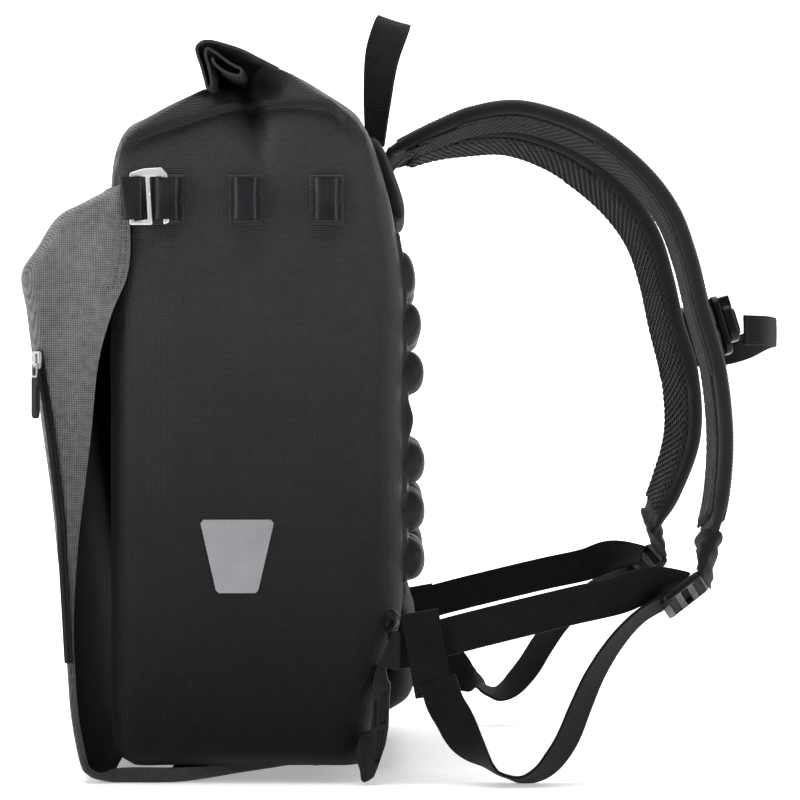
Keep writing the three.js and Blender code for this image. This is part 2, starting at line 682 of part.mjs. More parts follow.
// The shoulder strap's course from the yoke. Reach is a share of strapReach behind the bag, height of
// strapHeight, side of half the bagWidth and width of strapWidth. Twists are in degrees, one for each side.
const strapCourse = [
  { reach: -0.024, height: 0.935, side: 0.28, width: 0.7, near: -5, far: -9 },
  { reach: 0.028, height: 0.946, side: 0.3, width: 0.82, near: -5, far: -9 },
  { reach: 0.112, height: 0.966, side: 0.33, width: 0.88, near: -5, far: -9 },
  { reach: 0.228, height: 0.989, side: 0.36, width: 0.92, near: -5, far: -9 },
  { reach: 0.367, height: 0.997, side: 0.4, width: 0.94, near: -5, far: -9 },
  { reach: 0.526, height: 0.975, side: 0.455, width: 0.97, near: -4, far: -9 },
  { reach: 0.66, height: 0.937, side: 0.515, width: 1, near: -3, far: -9 },
  { reach: 0.777, height: 0.886, side: 0.565, width: 1, near: -1, far: -9 },
  { reach: 0.851, height: 0.833, side: 0.6, width: 1, near: 0, far: -9 },
  { reach: 0.898, height: 0.769, side: 0.633, width: 1, near: 1, far: -9 },
  { reach: 0.935, height: 0.693, side: 0.653, width: 1, near: 2, far: -9 },
  { reach: 0.981, height: 0.611, side: 0.673, width: 1, near: 2, far: -9 },
  { reach: 1, height: 0.507, side: 0.72, width: 0.97, near: 2, far: -8 },
  { reach: 0.981, height: 0.416, side: 0.787, width: 0.88, near: 2, far: -6 },
  { reach: 0.944, height: 0.351, side: 0.84, width: 0.68, near: 2, far: -4 },
];
const strapSteps = 36;
const layerGap = 1.1;
const sides = { near: -1, far: 1 };

function strapBand(side) {
  const stations = strapCourse.map((row) => ({
    place: new THREE.Vector3(
      backWallX + row.reach * strapReach, sides[side] * row.side * halfBag, row.height * strapHeight,
    ),
    width: row.width * strapWidth,
    twist: row[side],
  }));
  return bandStations(stations, strapSteps);
}

function shoulderStrap(side) {
  return bandSolid(strapBand(side), { thickness: strapPad, chamfer: 3 });
}

function strapMeshFace(side) {
  const shift = -(strapPad / 2 + layerGap + strapMesh / 2);
  const band = strapBand(side).slice(2, -1);
  return bandSolid(band, { thickness: strapMesh, shift, widthShare: 0.84, chamfer: 1.2 });
}

function strapRailWebbing(side) {
  const shift = strapPad / 2 + layerGap + strapRail / 2;
  const band = strapBand(side).slice(1, -1);
  return bandSolid(band, { thickness: strapRail, shift, widthShare: webbingWidth / strapWidth });
}

// The gathered end of a strap tapers from the pad to the ladder lock.
const lockTurn = radians(38);
const lockFacing = 0.45;
const lockPlace = { reach: 0.868, height: 0.278, side: 0.933 };

function lockFrame(side) {
  const sign = sides[side];
  const centre = new THREE.Vector3(
    backWallX + lockPlace.reach * strapReach, sign * lockPlace.side * halfBag, lockPlace.height * strapHeight,
  );
  const lengthways = new THREE.Vector3(Math.cos(lockTurn), 0, Math.sin(lockTurn));
  const rising = new THREE.Vector3(-Math.sin(lockTurn), 0, Math.cos(lockTurn));
  const level = Math.sqrt(1 - lockFacing ** 2);
  const sideways = rising.multiplyScalar(sign * lockFacing).addScaledVector(across, level);
  const inward = lengthways.clone().cross(sideways);
  return { centre, lengthways, sideways, inward };
}

// The ladder lock: a plate with three bars, drawn along its length and its width.
const lockRim = 2.6;
const lockBar = 5;

function ladderLock() {
  const halfLength = lockLength / 2;
  const halfWidth = lockWidth / 2;
  const cut = 4;
  const outline = [
    [-halfLength, cut - halfWidth], [cut - halfLength, -halfWidth], [halfLength - cut, -halfWidth],
    [halfLength, cut - halfWidth], [halfLength, halfWidth - cut], [halfLength - cut, halfWidth],
    [cut - halfLength, halfWidth], [-halfLength, halfWidth - cut],
  ];
  const slot = (lockLength - 2 * lockBar - 2 * lockBar) / 3;
  let plate = toManifold(extrudeUp(outline, -lockThickness / 2, lockThickness / 2));
  for (let i = 0; i < 3; i++) {
    const start = -halfLength + lockBar + i * (slot + lockBar);
    const hole = boxOutline(start, lockRim - halfWidth, start + slot, halfWidth - lockRim);
    plate = plate.subtract(toManifold(extrudeUp(hole, -lockThickness, lockThickness)));
  }
  const { centre, lengthways, sideways, inward } = lockFrame('near');
  const place = new THREE.Matrix4().makeBasis(lengthways, sideways, inward).setPosition(centre);
  return fromManifold(plate).applyMatrix4(place);
}

function strapEnd(side) {
  const last = strapBand(side).at(-1);
  const { centre, lengthways, sideways, inward } = lockFrame(side);
  const start = last.place.clone().addScaledVector(last.tangent, 2 * seatGap);
  const tip = centre.clone().addScaledVector(lengthways, lockLength / 2 + 2 * seatGap);
  const bulge = strapPad * 0.55;
  const rings = [0, 0.25, 0.5, 0.75, 1].map((share) => {
    const wide = last.side.clone().lerp(sideways, share).normalize();
    const thick = last.normal.clone().negate().lerp(inward, share).normalize();
    const half = THREE.MathUtils.lerp(last.width * 0.44, webbingWidth * 0.46, share);
    const deep = bulge * (1 - 0.45 * share);
    const place = start.clone().lerp(tip, share);
    return [[1, -0.5], [1, 0.5], [0.5, 1], [-0.5, 1], [-1, 0.5], [-1, -0.5], [-0.5, -1], [0.5, -1]].map(
      ([w, t]) => place.clone().addScaledVector(wide, w * half).addScaledVector(thick, t * deep),
    );
  });
  return loftSolid(rings);
}

// The lower webbing's course from the bag's corner to the ladder lock, lying flat in the side's plane.
// Reach is a share of strapReach behind the bag, height of strapHeight, side of half the bagWidth. Twists
// are in degrees, for the near side.
const lowerCourse = [
  { reach: -0.121, height: 0.194, side: 1.01, twist: -90 },
  { reach: 0.01, height: 0.2, side: 1.01, twist: -90 },
  { reach: 0.149, height: 0.219, side: 1.009, twist: -90 },
  { reach: 0.507, height: 0.261, side: 1.0, twist: -90 },
  { reach: 0.665, height: 0.278, side: 0.987, twist: -88 },
  { reach: 0.75, height: 0.293, side: 0.973, twist: -70 },
];
const lowerSeat = { along: 0.12, inward: 8 };

// Builds a webbing's stations for one side, and ends it behind the ladder lock.
function webbingBand(course, side, drop, steps, seat) {
  const { centre, lengthways, inward } = lockFrame(side);
  const sign = sides[side];
  const stations = course.map((row) => ({
    place: new THREE.Vector3(
      backWallX + row.reach * strapReach,
      sign * row.side * halfBag,
      row.height * strapHeight - (row.drop ?? 0) * drop,
    ),
    width: webbingWidth,
    twist: -sign * row.twist,
  }));
  const end = centre.clone()
    .addScaledVector(lengthways, seat.along * lockLength)
    .addScaledVector(inward, seat.inward);
  stations.push({ place: end, width: webbingWidth, twist: sign * 27 });
  return bandStations(stations, steps);
}

function lowerWebbing(side) {
  return bandSolid(webbingBand(lowerCourse, side, 0, 20, lowerSeat), { thickness: webbingThickness });
}

// The sewn keeper: a flat ring of webbing round the lower webbing. It leans with the webbing that
// hangs from it.
const keeperHeight = 56;
const keeperLean = 10;
const keeperClear = webbingThickness + 3 * seatGap;
const keeperPlace = { reach: 0.074, height: 0.193 };

function webbingKeeper() {
  const middleY = -lowerCourse[1].side * halfBag;
  const half = keeperClear / 2 + webbingThickness;
  const wall = webbingThickness;
  const bevel = 1.2;
  const outline = [
    [0, bevel - half], [bevel, -half], [keeperHeight - bevel, -half], [keeperHeight, bevel - half],
    [keeperHeight, half - bevel], [keeperHeight - bevel, half], [bevel, half], [0, half - bevel],
  ];
  const hole = boxOutline(wall + 8, wall - half, keeperHeight - wall, half - wall);
  const ring = extrudeUp(outline, -webbingWidth / 2, webbingWidth / 2, [hole]);
  ring.rotateY(radians(-90 - keeperLean));
  const x = backWallX + keeperPlace.reach * strapReach;
  const z = keeperPlace.height * strapHeight - keeperHeight / 2 * Math.cos(radians(keeperLean));
  return ring.translate(x + keeperHeight / 2 * Math.sin(radians(keeperLean)), middleY, z);
}

// The webbing's hanging end, from its keeper down to the floor and up to the lock.
// Drop is a share of how far it hangs.
const tailCourse = [
  { reach: 0.116, height: 0.121, drop: 0, side: 1.025, twist: -90 },
  { reach: 0.139, height: 0.13, drop: 0.13, side: 1.022, twist: -90 },
  { reach: 0.163, height: 0.15, drop: 0.32, side: 1.018, twist: -84 },
  { reach: 0.195, height: 0.19, drop: 0.57, side: 1.012, twist: -66 },
  { reach: 0.242, height: 0.24, drop: 0.853, side: 1.005, twist: -30 },
  { reach: 0.279, height: 0.24, drop: 0.888, side: 1.0, twist: -8 },
  { reach: 0.322, height: 0.24, drop: 0.915, side: 1.0, twist: -2 },
  { reach: 0.367, height: 0.24, drop: 0.928, side: 1.0, twist: 3 },
  { reach: 0.42, height: 0.24, drop: 0.875, side: 1.0, twist: -4 },
  { reach: 0.465, height: 0.24, drop: 0.79, side: 1.0, twist: -16 },
  { reach: 0.51, height: 0.24, drop: 0.67, side: 1.0, twist: -25 },
  { reach: 0.552, height: 0.24, drop: 0.489, side: 0.998, twist: -27 },
  { reach: 0.598, height: 0.24, drop: 0.304, side: 0.994, twist: -27 },
  { reach: 0.656, height: 0.24, drop: 0.116, side: 0.984, twist: -27 },
  { reach: 0.726, height: 0.24, drop: -0.02, side: 0.965, twist: -27 },
];
const tailSeat = { along: -0.36, inward: 4.4 };

function tailWebbing(side) {
  const drop = side === 'near' ? tailDropNear : tailDropFar;
  return bandSolid(webbingBand(tailCourse, side, drop, 42, tailSeat), { thickness: webbingThickness });
}

// A triangular tab holds the lower webbing on the bag's corner.
function cornerAnchor() {
  const left = backWallX + lowerCourse[0].reach * strapReach;
  const middle = lowerCourse[0].height * strapHeight + 1;
  const outside = -lowerCourse[0].side * halfBag - webbingThickness / 2 - seatGap;
  const reach = webbingWidth * 0.9;
  const outline = [
    [left - 2, middle - webbingWidth * 0.62], [left + reach, middle - webbingWidth * 0.5],
    [left + reach, middle + webbingWidth * 0.52], [left + reach * 0.7, middle + webbingWidth * 0.6],
  ];
  return extrudeAcross(outline, outside - webbingThickness, outside);
}

// A round cap on the rounded back corner of the bag, facing out of it.
function anchorCap() {
  const z = heightAt(0.2);
  const facing = radians(-37);
  const radius = backCorner + 2 * seatGap;
  const cap = new THREE.CylinderGeometry(capDiameter * 0.36, capDiameter / 2, capHeight, 16);
  cap.rotateZ(-Math.PI / 2).translate(radius + capHeight / 2, 0, 0).rotateZ(facing);
  return cap.translate(backWallAt(z) - backCorner, backCorner - halfBag, z);
}

// The rear base clip: drawn from the side as shares of its depth and height, with a slot through it.
function rearClip() {
  const left = backWallAt(heightAt(0.06)) - clipDepth * 0.5;
  const place = ([x, z]) => [left + x * clipDepth, z * clipHeight];
  const outline = [
    [0.27, 0], [0.44, 0.03], [0.62, 0.12], [0.95, 0.47], [1.02, 0.83], [0.9, 1],
    [0.66, 1], [0.68, 0.62], [0.56, 0.44], [0.46, 0.34], [0.32, 0.16], [0.12, 0.105], [0.1, 0],
  ].map(place);
  const slot = [[0.74, 0.44], [0.86, 0.47], [0.93, 0.76], [0.8, 0.76]].map(place);
  return extrudeAcross(outline, -halfBag, clipWidth - halfBag, [slot]);
}

function baseKnob() {
  const height = 3.4;
  const knob = new THREE.CylinderGeometry(knobDiameter / 2, knobDiameter * 0.42, height, 16);
  knob.rotateX(Math.PI / 2);
  const x = frontWallX + tongueLength + knobDiameter / 2 + 3;
  return knob.translate(x, -halfBag * 0.72, bagLift - seatGap - height / 2);
}

// The chest strap joins the rails of the two shoulder straps and bows away from the wearer.
const chestHeight = 0.667;
const sliderDepth = 5;
const sliderWidth = 30;
const sliderTall = 40;
const buckleDepth = 9;
const chestLead = 4.6;

// Gives the place on a strap's rail at the chest strap's height, with the strap's directions there.
function railPlace(side) {
  const band = strapBand(side);
  const level = chestHeight * strapHeight;
  const row = band.findLastIndex((point) => point.place.z > level);
  const [above, below] = [band[row], band[row + 1]];
  const share = (above.place.z - level) / (above.place.z - below.place.z);
  const blend = (name) => above[name].clone().lerp(below[name], share);
  const normal = blend('normal').normalize();
  const rise = strapPad / 2 + layerGap + strapRail + 2 * seatGap;
  return { place: blend('place').addScaledVector(normal, rise), side: blend('side').normalize(), normal };
}

// Makes a block that lies on a strap's rail.
function blockOnRail(side, wide, deep, tall, lift) {
  const rail = railPlace(side);
  const along = rail.normal.clone().cross(rail.side);
  const place = rail.place.clone().addScaledVector(rail.normal, lift + deep / 2);
  const turn = new THREE.Matrix4().makeBasis(rail.normal, rail.side, along).setPosition(place);
  return new THREE.BoxGeometry(deep, wide, tall).applyMatrix4(turn);
}

function chestSlider(side) {
  return blockOnRail(side, sliderWidth, sliderDepth, sliderTall, 0);
}

function chestBuckle() {
  return blockOnRail('near', sliderWidth * 0.75, buckleDepth, chestWebbingWidth + 5, sliderDepth + seatGap);
}

function chestWebbing() {
  const near = railPlace('near').place;
  const far = railPlace('far').place;
  const apexX = near.x + sliderDepth + chestBow;
  const rows = [[0, 1], [0.45, 0.86], [0.8, 0.56], [0.96, 0.26], [1, 0]];
  const leg = (end, startX) => rows.map(([out, side]) => new THREE.Vector3(
    THREE.MathUtils.lerp(startX, apexX, out), side * end.y, near.z,
  ));
  const nearLeg = leg(near, near.x + sliderDepth + buckleDepth + chestLead);
  const farLeg = leg(far, far.x + sliderDepth + chestLead).slice(0, -1).reverse();
  const curve = new THREE.CatmullRomCurve3([...nearLeg, ...farLeg]);
  const up = new THREE.Vector3(0, 0, 1);
  const steps = 24;
  const band = Array.from({ length: steps + 1 }, (_, i) => {
    const tangent = curve.getTangent(i / steps);
    const normal = tangent.clone().cross(up);
    return { place: curve.getPoint(i / steps), side: up, normal, width: chestWebbingWidth };
  });
  return bandSolid(band, { thickness: webbingThickness });
}

const pack = new THREE.Group();

function addNode(name, geometry, material) {
  const mesh = new THREE.Mesh(geometry, material);
  mesh.name = name;
  pack.add(mesh);
}

function addBothSides(name, geometry, material) {
  addNode(`${name}_near`, geometry, material);
  addNode(`${name}_far`, mirrored(geometry), material);
}

addNode('bag_shell', bagShell(), coatedFabric);
addNode('roll_closure', rollClosure(), coatedFabric);
addNode('front_cover', frontCover(), coverFabric);
addNode('zip_tape', zipTape(), zipCoil);
addNode('zip_slider', zipSlider(), brightAluminium);
addNode('zip_pull', zipPull(), mouldedPlastic);
addBothSides('cover_loop', coverLoop(), webbingFinish);
addBothSides('cover_hook', coverHook(), brightAluminium);
loopPlaces.forEach((_, index) => {
  addBothSides(`side_loop_${index + 1}`, sideLoop(index), webbingFinish);
  addBothSides(`loop_patch_${index + 1}`, loopPatch(index), coatedFabric);
});
addBothSides('reflector', reflector(), reflectiveFilm);
addNode('back_panel', backPanel(), coatedFabric);
addNode('strap_yoke', strapYoke(), paddedFabric);
addNode('lumbar_pad', lumbarPad(), coatedFabric);
addNode('haul_loop', haulLoop(), webbingFinish);
for (const side of Object.keys(sides)) {
  addNode(`shoulder_strap_${side}`, shoulderStrap(side), paddedFabric);
  addNode(`strap_mesh_${side}`, strapMeshFace(side), airMesh);
  addNode(`strap_rail_${side}`, strapRailWebbing(side), webbingFinish);
  addNode(`strap_end_${side}`, strapEnd(side), paddedFabric);
  addNode(`lower_webbing_${side}`, lowerWebbing(side), webbingFinish);
  addNode(`tail_webbing_${side}`, tailWebbing(side), webbingFinish);
  addNode(`chest_slider_${side}`, chestSlider(side), mouldedPlastic);
}
addBothSides('ladder_lock', ladderLock(), mouldedPlastic);
addBothSides('webbing_keeper', webbingKeeper(), webbingFinish);
addBothSides('corner_anchor', cornerAnchor(), webbingFinish);
addBothSides('anchor_cap', anchorCap(), mouldedPlastic);
addBothSides('rear_clip', rearClip(), mouldedPlastic);
addBothSides('base_knob', baseKnob(), mouldedPlastic);
addNode('chest_webbing', chestWebbing(), webbingFinish);
addNode('chest_buckle', chestBuckle(), mouldedPlastic);

export default pack;
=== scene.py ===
"""Looks of a roll-top bicycle backpack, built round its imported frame. All sizes are in metres."""
import math
from collections import namedtuple

import bmesh
import bpy
import numpy as np
from mathutils import Matrix, Quaternion, Vector, noise


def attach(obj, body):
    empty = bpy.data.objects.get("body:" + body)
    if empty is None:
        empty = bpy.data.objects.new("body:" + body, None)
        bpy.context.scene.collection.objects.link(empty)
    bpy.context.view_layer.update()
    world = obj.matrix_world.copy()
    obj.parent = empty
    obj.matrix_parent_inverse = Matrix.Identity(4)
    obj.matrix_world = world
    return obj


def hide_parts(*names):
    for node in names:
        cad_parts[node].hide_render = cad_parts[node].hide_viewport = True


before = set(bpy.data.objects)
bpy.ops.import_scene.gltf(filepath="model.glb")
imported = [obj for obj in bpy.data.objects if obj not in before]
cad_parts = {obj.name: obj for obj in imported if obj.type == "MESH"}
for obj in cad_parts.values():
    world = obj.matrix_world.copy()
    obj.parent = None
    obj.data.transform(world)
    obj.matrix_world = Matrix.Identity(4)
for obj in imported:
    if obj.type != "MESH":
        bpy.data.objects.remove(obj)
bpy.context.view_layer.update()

scene = bpy.context.scene
root = "root"
near, far = -1, 1
side_names = {near: "near", far: "far"}
across = Vector((0, 1, 0))
up = Vector((0, 0, 1))

# Driving sizes, as in the pack's CAD source
bag_depth = 0.194
bag_height = 0.480
bag_width = 0.300
bag_lift = 0.011
front_wall = -0.028
fabric_wall = 0.002
front_corner = 0.022
back_corner = 0.026
seat_gap = 0.0003
cover_reach = 0.058
cover_height = 0.393
cover_corner = 0.014
tongue_length = 0.128
webbing_width = 0.025
webbing_thickness = 0.002
strap_reach = 0.215
strap_height = 0.450
strap_width = 0.068
strap_pad = 0.009
strap_rail = 0.0018
layer_gap = 0.0011
chest_webbing_width = 0.021
chest_bow = 0.047
tail_drops = {near: 0.112, far: 0.09}
haul_height = 0.090
reflector_size = 0.048
reflector_place = (0.442, 0.291)
lock_length = 0.034
lock_width = 0.033
lock_thickness = 0.005
clip_height = 0.078
clip_depth = 0.022
clip_width = 0.009
cap_diameter = 0.015
cap_height = 0.004
knob_diameter = 0.009
half_bag = bag_width / 2
back_wall = front_wall + bag_depth


def depth_at(share):
    return front_wall + share * bag_depth


def height_at(share):
    return bag_lift + share * bag_height


def mix(a, b, share):
    return a + (b - a) * share


def even_steps(start, end, count):
    return [mix(start, end, i / count) for i in range(count + 1)]


def soft_step(x):
    x = min(max(x, 0.0), 1.0)
    return x * x * (3 - 2 * x)


def hill(distance, width):
    """A smooth hill of height 1 that has faded at about twice its width."""
    return math.exp(-(distance / width) ** 2)


def squared_round(angle, power_x, power_y):
    """A place on a unit circle that is drawn out towards a square by powers below one."""
    x, y = math.cos(angle), math.sin(angle)
    return math.copysign(abs(x) ** power_x, x), math.copysign(abs(y) ** power_y, y)


# Curves and bands

def smooth_course(points):
    """A function that runs smoothly through the points as its share goes from 0 to 1."""
    points = [Vector(p) for p in points]
    row = [2 * points[0] - points[1], *points, 2 * points[-1] - points[-2]]

    def at(share):
        place = min(max(share, 0.0), 1.0) * (len(points) - 1)
        first = min(int(place), len(points) - 2)
        part = place - first
        a, b, c, d = row[first:first + 4]
        gap_1, gap_2, gap_3 = (max((q - p).length, 1e-12) ** 0.5 for p, q in ((a, b), (b, c), (c, d)))
        leave = ((b - a) / gap_1 - (c - a) / (gap_1 + gap_2) + (c - b) / gap_2) * gap_2
        reach = ((c - b) / gap_2 - (d - b) / (gap_2 + gap_3) + (d - c) / gap_3) * gap_2
        square = -3 * b + 3 * c - 2 * leave - reach
        cube = 2 * b - 2 * c + leave + reach
        return b + leave * part + square * part ** 2 + cube * part ** 3

    return at


def direction_at(course, share):
    step = 1e-4
    return (course(share + step) - course(share - step)).normalized()


class Station:
    """One place along a band: its directions, its width and how far along it is."""

    def __init__(self, place, tangent, side, width):
        self.place = place
        self.tangent = tangent
        self.side = side
        self.normal = tangent.cross(side)
        self.width = width

    def point(self, sideways, outwards):
        return self.place + self.side * sideways + self.normal * outwards


def band_along(stations, steps):
    """Stations along a flat band. Each given station is its place, its width and its twist in degrees."""
    course = smooth_course([place for place, _, _ in stations])
    sizes = smooth_course([(width * 1000, twist, 0) for _, width, twist in stations])
    band = []
    for i in range(steps + 1):
        share = i / steps
        tangent = direction_at(course, share)
        width, twist, _ = sizes(share)
        side = (across - tangent * tangent.dot(across)).normalized()
        side.rotate(Quaternion(tangent, math.radians(twist)))
        band.append(Station(course(share), tangent, side, width / 1000))
    return band


def row_between(rows, place):
    """Values between the rows of a table, smooth from row to row."""
    place = min(max(place, 0.0), len(rows) - 1.0)
    first = min(int(place), len(rows) - 2)
    part = place - first
    a = rows[max(first - 1, 0)]
    b = rows[first]
    c = rows[first + 1]
    d = rows[min(first + 2, len(rows) - 1)]
    values = []
    for w, x, y, z in zip(a, b, c, d):
        leave = (y - w) / 2
        reach = (z - x) / 2
        square = 3 * (y - x) - 2 * leave - reach
        cube = 2 * (x - y) + leave + reach
        values.append(x + leave * part + square * part ** 2 + cube * part ** 3)
    return values


# Meshes

def mesh_of(name, points, faces, uvs=None):
    """A mesh with smooth faces, and a uv map in metres where one is given for each face corner."""
    mesh = bpy.data.meshes.new(name)
    mesh.from_pydata([tuple(p) for p in points], [], faces)
    if uvs is not None:
        layer = mesh.uv_layers.new(name="weave")
        layer.data.foreach_set("uv", np.array(uvs, dtype=float).ravel())
    mesh.shade_smooth()
    mesh.update()
    return mesh


def loft(name, rings, closed=True, cap_start=True, cap_end=True, uv_start=(0.0, 0.0)):
    """Skins rows of points. The uv map holds the distance round a row and the distance along the rows."""
    grid = np.array([[tuple(p) for p in ring] for ring in rings])
    rows, columns = grid.shape[:2]
    middle = grid[rows // 2]
    spans = np.linalg.norm(np.roll(middle, -1, axis=0) - middle, axis=1)
    around = uv_start[0] + np.concatenate([[0], np.cumsum(spans)])
    lengths = np.linalg.norm(np.diff(grid, axis=0), axis=2).mean(axis=1)
    along = uv_start[1] + np.concatenate([[0], np.cumsum(lengths)])
    faces, uvs = [], []
    for r in range(rows - 1):
        for c in range(columns if closed else columns - 1):
            n = (c + 1) % columns
            faces.append((r * columns + c, r * columns + n, (r + 1) * columns + n, (r + 1) * columns + c))
            uvs += [(around[c], along[r]), (around[c + 1], along[r]),
                    (around[c + 1], along[r + 1]), (around[c], along[r + 1])]
    if closed and cap_start:
        faces.append(tuple(range(columns - 1, -1, -1)))
        uvs += [(around[c], along[0]) for c in range(columns - 1, -1, -1)]
    if closed and cap_end:
        last = (rows - 1) * columns
        faces.append(tuple(last + c for c in range(columns)))
        uvs += [(around[c], along[-1]) for c in range(columns)]
    return mesh_of(name, grid.reshape(-1, 3), faces, uvs)


def face_outwards(mesh, weld=False):
    """Turns all faces of a closed mesh outwards, and merges its doubled points first where asked."""
    work = bmesh.new()
    work.from_mesh(mesh)
    if weld:
        bmesh.ops.remove_doubles(work, verts=work.verts, dist=1e-6)
    bmesh.ops.recalc_face_normals(work, faces=work.faces)
    work.to_mesh(mesh)
    work.free()


def sharpen(mesh, degrees=40):
    """Smooth faces with hard edges where the surface turns by more than the given angle."""
    mesh.shade_smooth()
    mesh.set_sharp_from_angle(angle=math.radians(degrees))


def solid_loft(name, rings, degrees=None):
    """A closed loft that faces outwards, with hard edges above an angle where one is given."""
    mesh = loft(name, rings)
    face_outwards(mesh)
    if degrees is not None:
        sharpen(mesh, degrees)
    return mesh


def object_of(name, mesh):
    piece = bpy.data.objects.new(name, mesh)
    scene.collection.objects.link(piece)
    return piece


def finished_mesh(piece):
    """The piece's mesh with its modifiers and its place worked in."""
    bpy.context.view_layer.update()
    evaluated = piece.evaluated_get(bpy.context.evaluated_depsgraph_get())
    mesh = bpy.data.meshes.new_from_object(evaluated)
    mesh.transform(piece.matrix_world)
    return mesh


def bake_modifiers(piece):
    """Works a piece's modifiers and place into its mesh."""
    mesh = finished_mesh(piece)
    piece.modifiers.clear()
    piece.data = mesh
    piece.matrix_world = Matrix.Identity(4)
    return piece


def keep(piece, replaced=()):
    """Makes a finished object a piece of the pack."""
    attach(piece, root)
    if replaced:
        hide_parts(*replaced)
    return piece


def keep_one(name, mesh, material, node):
    return keep(object_of(name, dress(mesh, material)), [node])


def keep_side(side, name, mesh, material, node=None, mirror=False):
    """Keeps the piece of one side. A mesh that is drawn for the near side is mirrored for the far one."""
    full_name = f"{name}_{side_names[side]}"
    if mirror and side == far:
        mesh = mirrored(mesh, full_name)
    replaced = [f"{node}_{side_names[side]}"] if node else ()
    return keep(object_of(full_name, dress(mesh, material)), replaced)


def rounded_band(name, band, thickness, camber=0.0, shift=0.0, width_share=1.0, edge=0.45):
    """Webbing or a flat strip: a band with rounded edges and a slight camber."""
    rings = []
    for station in band:
        half = station.width * width_share / 2
        thick = thickness / 2
        ring = []
        steps = 8
        for i in range(steps + 1):
            w = mix(-1, 1, i / steps)
            ring.append((w * (half - thick * edge), -thick, w))
        ring.append((half, 0.0, 1))
        for i in range(steps + 1):
            w = mix(1, -1, i / steps)
            ring.append((w * (half - thick * edge), thick, w))
        ring.append((-half, 0.0, -1))
        rings.append([station.point(w, n + shift + camber * (1 - s * s)) for w, n, s in ring])
    return solid_loft(name, rings, 50)


def plate(name, outline, thickness, bevel, holes=(), place=None):
    """A flat plate drawn in X and Y with holes and rounded edges, set in place by a matrix."""
    curve = bpy.data.curves.new(name, "CURVE")
    curve.dimensions = "2D"
    curve.fill_mode = "BOTH"
    for points in (outline, *holes):
        spline = curve.splines.new("POLY")
        spline.points.add(len(points) - 1)
        for spot, (x, y) in zip(spline.points, points):
            spot.co = (x, y, 0, 1)
        spline.use_cyclic_u = True
    curve.extrude = thickness / 2 - bevel
    curve.bevel_depth = bevel
    curve.bevel_resolution = 2
    curve.offset = -bevel
    piece = object_of(name, curve)
    piece.matrix_world = place if place is not None else Matrix.Identity(4)
    mesh = finished_mesh(piece)
    bpy.data.objects.remove(piece)
    face_outwards(mesh, weld=True)
    sharpen(mesh, 35)
    return mesh


def rounded(points, radius):
    """A closed outline with each of its corners rounded, as far as its edges leave room."""
    outline = []
    points = [Vector(p) for p in points]
    for before, corner, after in zip(points[-1:] + points[:-1], points, points[1:] + points[:1]):
        start = corner.lerp(before, min(radius / max((before - corner).length, 1e-9), 0.45))
        end = corner.lerp(after, min(radius / max((after - corner).length, 1e-9), 0.45))
        for k in range(5):
            share = k / 4
            outline.append(tuple(start.lerp(corner, share).lerp(corner.lerp(end, share), share)))
    return outline


def box_outline(x0, z0, x1, z1, radius):
    return rounded([(x0, z0), (x1, z0), (x1, z1), (x0, z1)], radius)


def cut_box(wide, tall, inner_wide, inner_tall, radius):
    """A box outline round the origin with its four corners cut and rounded."""
    low = [(-wide, -inner_tall), (-inner_wide, -tall), (inner_wide, -tall), (wide, -inner_tall)]
    return rounded(low + [(-x, -y) for x, y in low], radius)


def frame_matrix(x_axis, y_axis, z_axis, origin):
    turn = Matrix((x_axis, y_axis, z_axis)).transposed().to_4x4()
    return Matrix.Translation(origin) @ turn


# Faces the camera's near side: X to the right, Z up, thickness along Y
def side_plane(y):
    return frame_matrix(Vector((1, 0, 0)), Vector((0, 0, 1)), Vector((0, -1, 0)), Vector((0, y, 0)))


def joined(name, meshes):
    """One mesh from several, with their uv maps kept."""
    points, faces, uvs = [], [], []
    for mesh in meshes:
        start = len(points)
        points += [tuple(v.co) for v in mesh.vertices]
        layer = mesh.uv_layers.active
        for face in mesh.polygons:
            faces.append(tuple(start + i for i in face.vertices))
            uvs += [tuple(layer.data[i].uv) if layer else (0.0, 0.0) for i in face.loop_indices]
    mesh = mesh_of(name, points, faces, uvs)
    sharpen(mesh, 40)
    return mesh


def thickened(piece, thickness, offset, material_offset=0):
    """Gives a sheet its wall and works it into the mesh."""
    wall = piece.modifiers.new("wall", "SOLIDIFY")
    wall.thickness = thickness
    wall.offset = offset
    wall.material_offset = material_offset
    wall.use_even_offset = offset == 0
    return bake_modifiers(piece)


def mirrored(mesh, name):
    copy = mesh.copy()
    copy.name = name
    copy.transform(Matrix.Scale(-1, 4, across))
    copy.flip_normals()
    return copy


# Materials

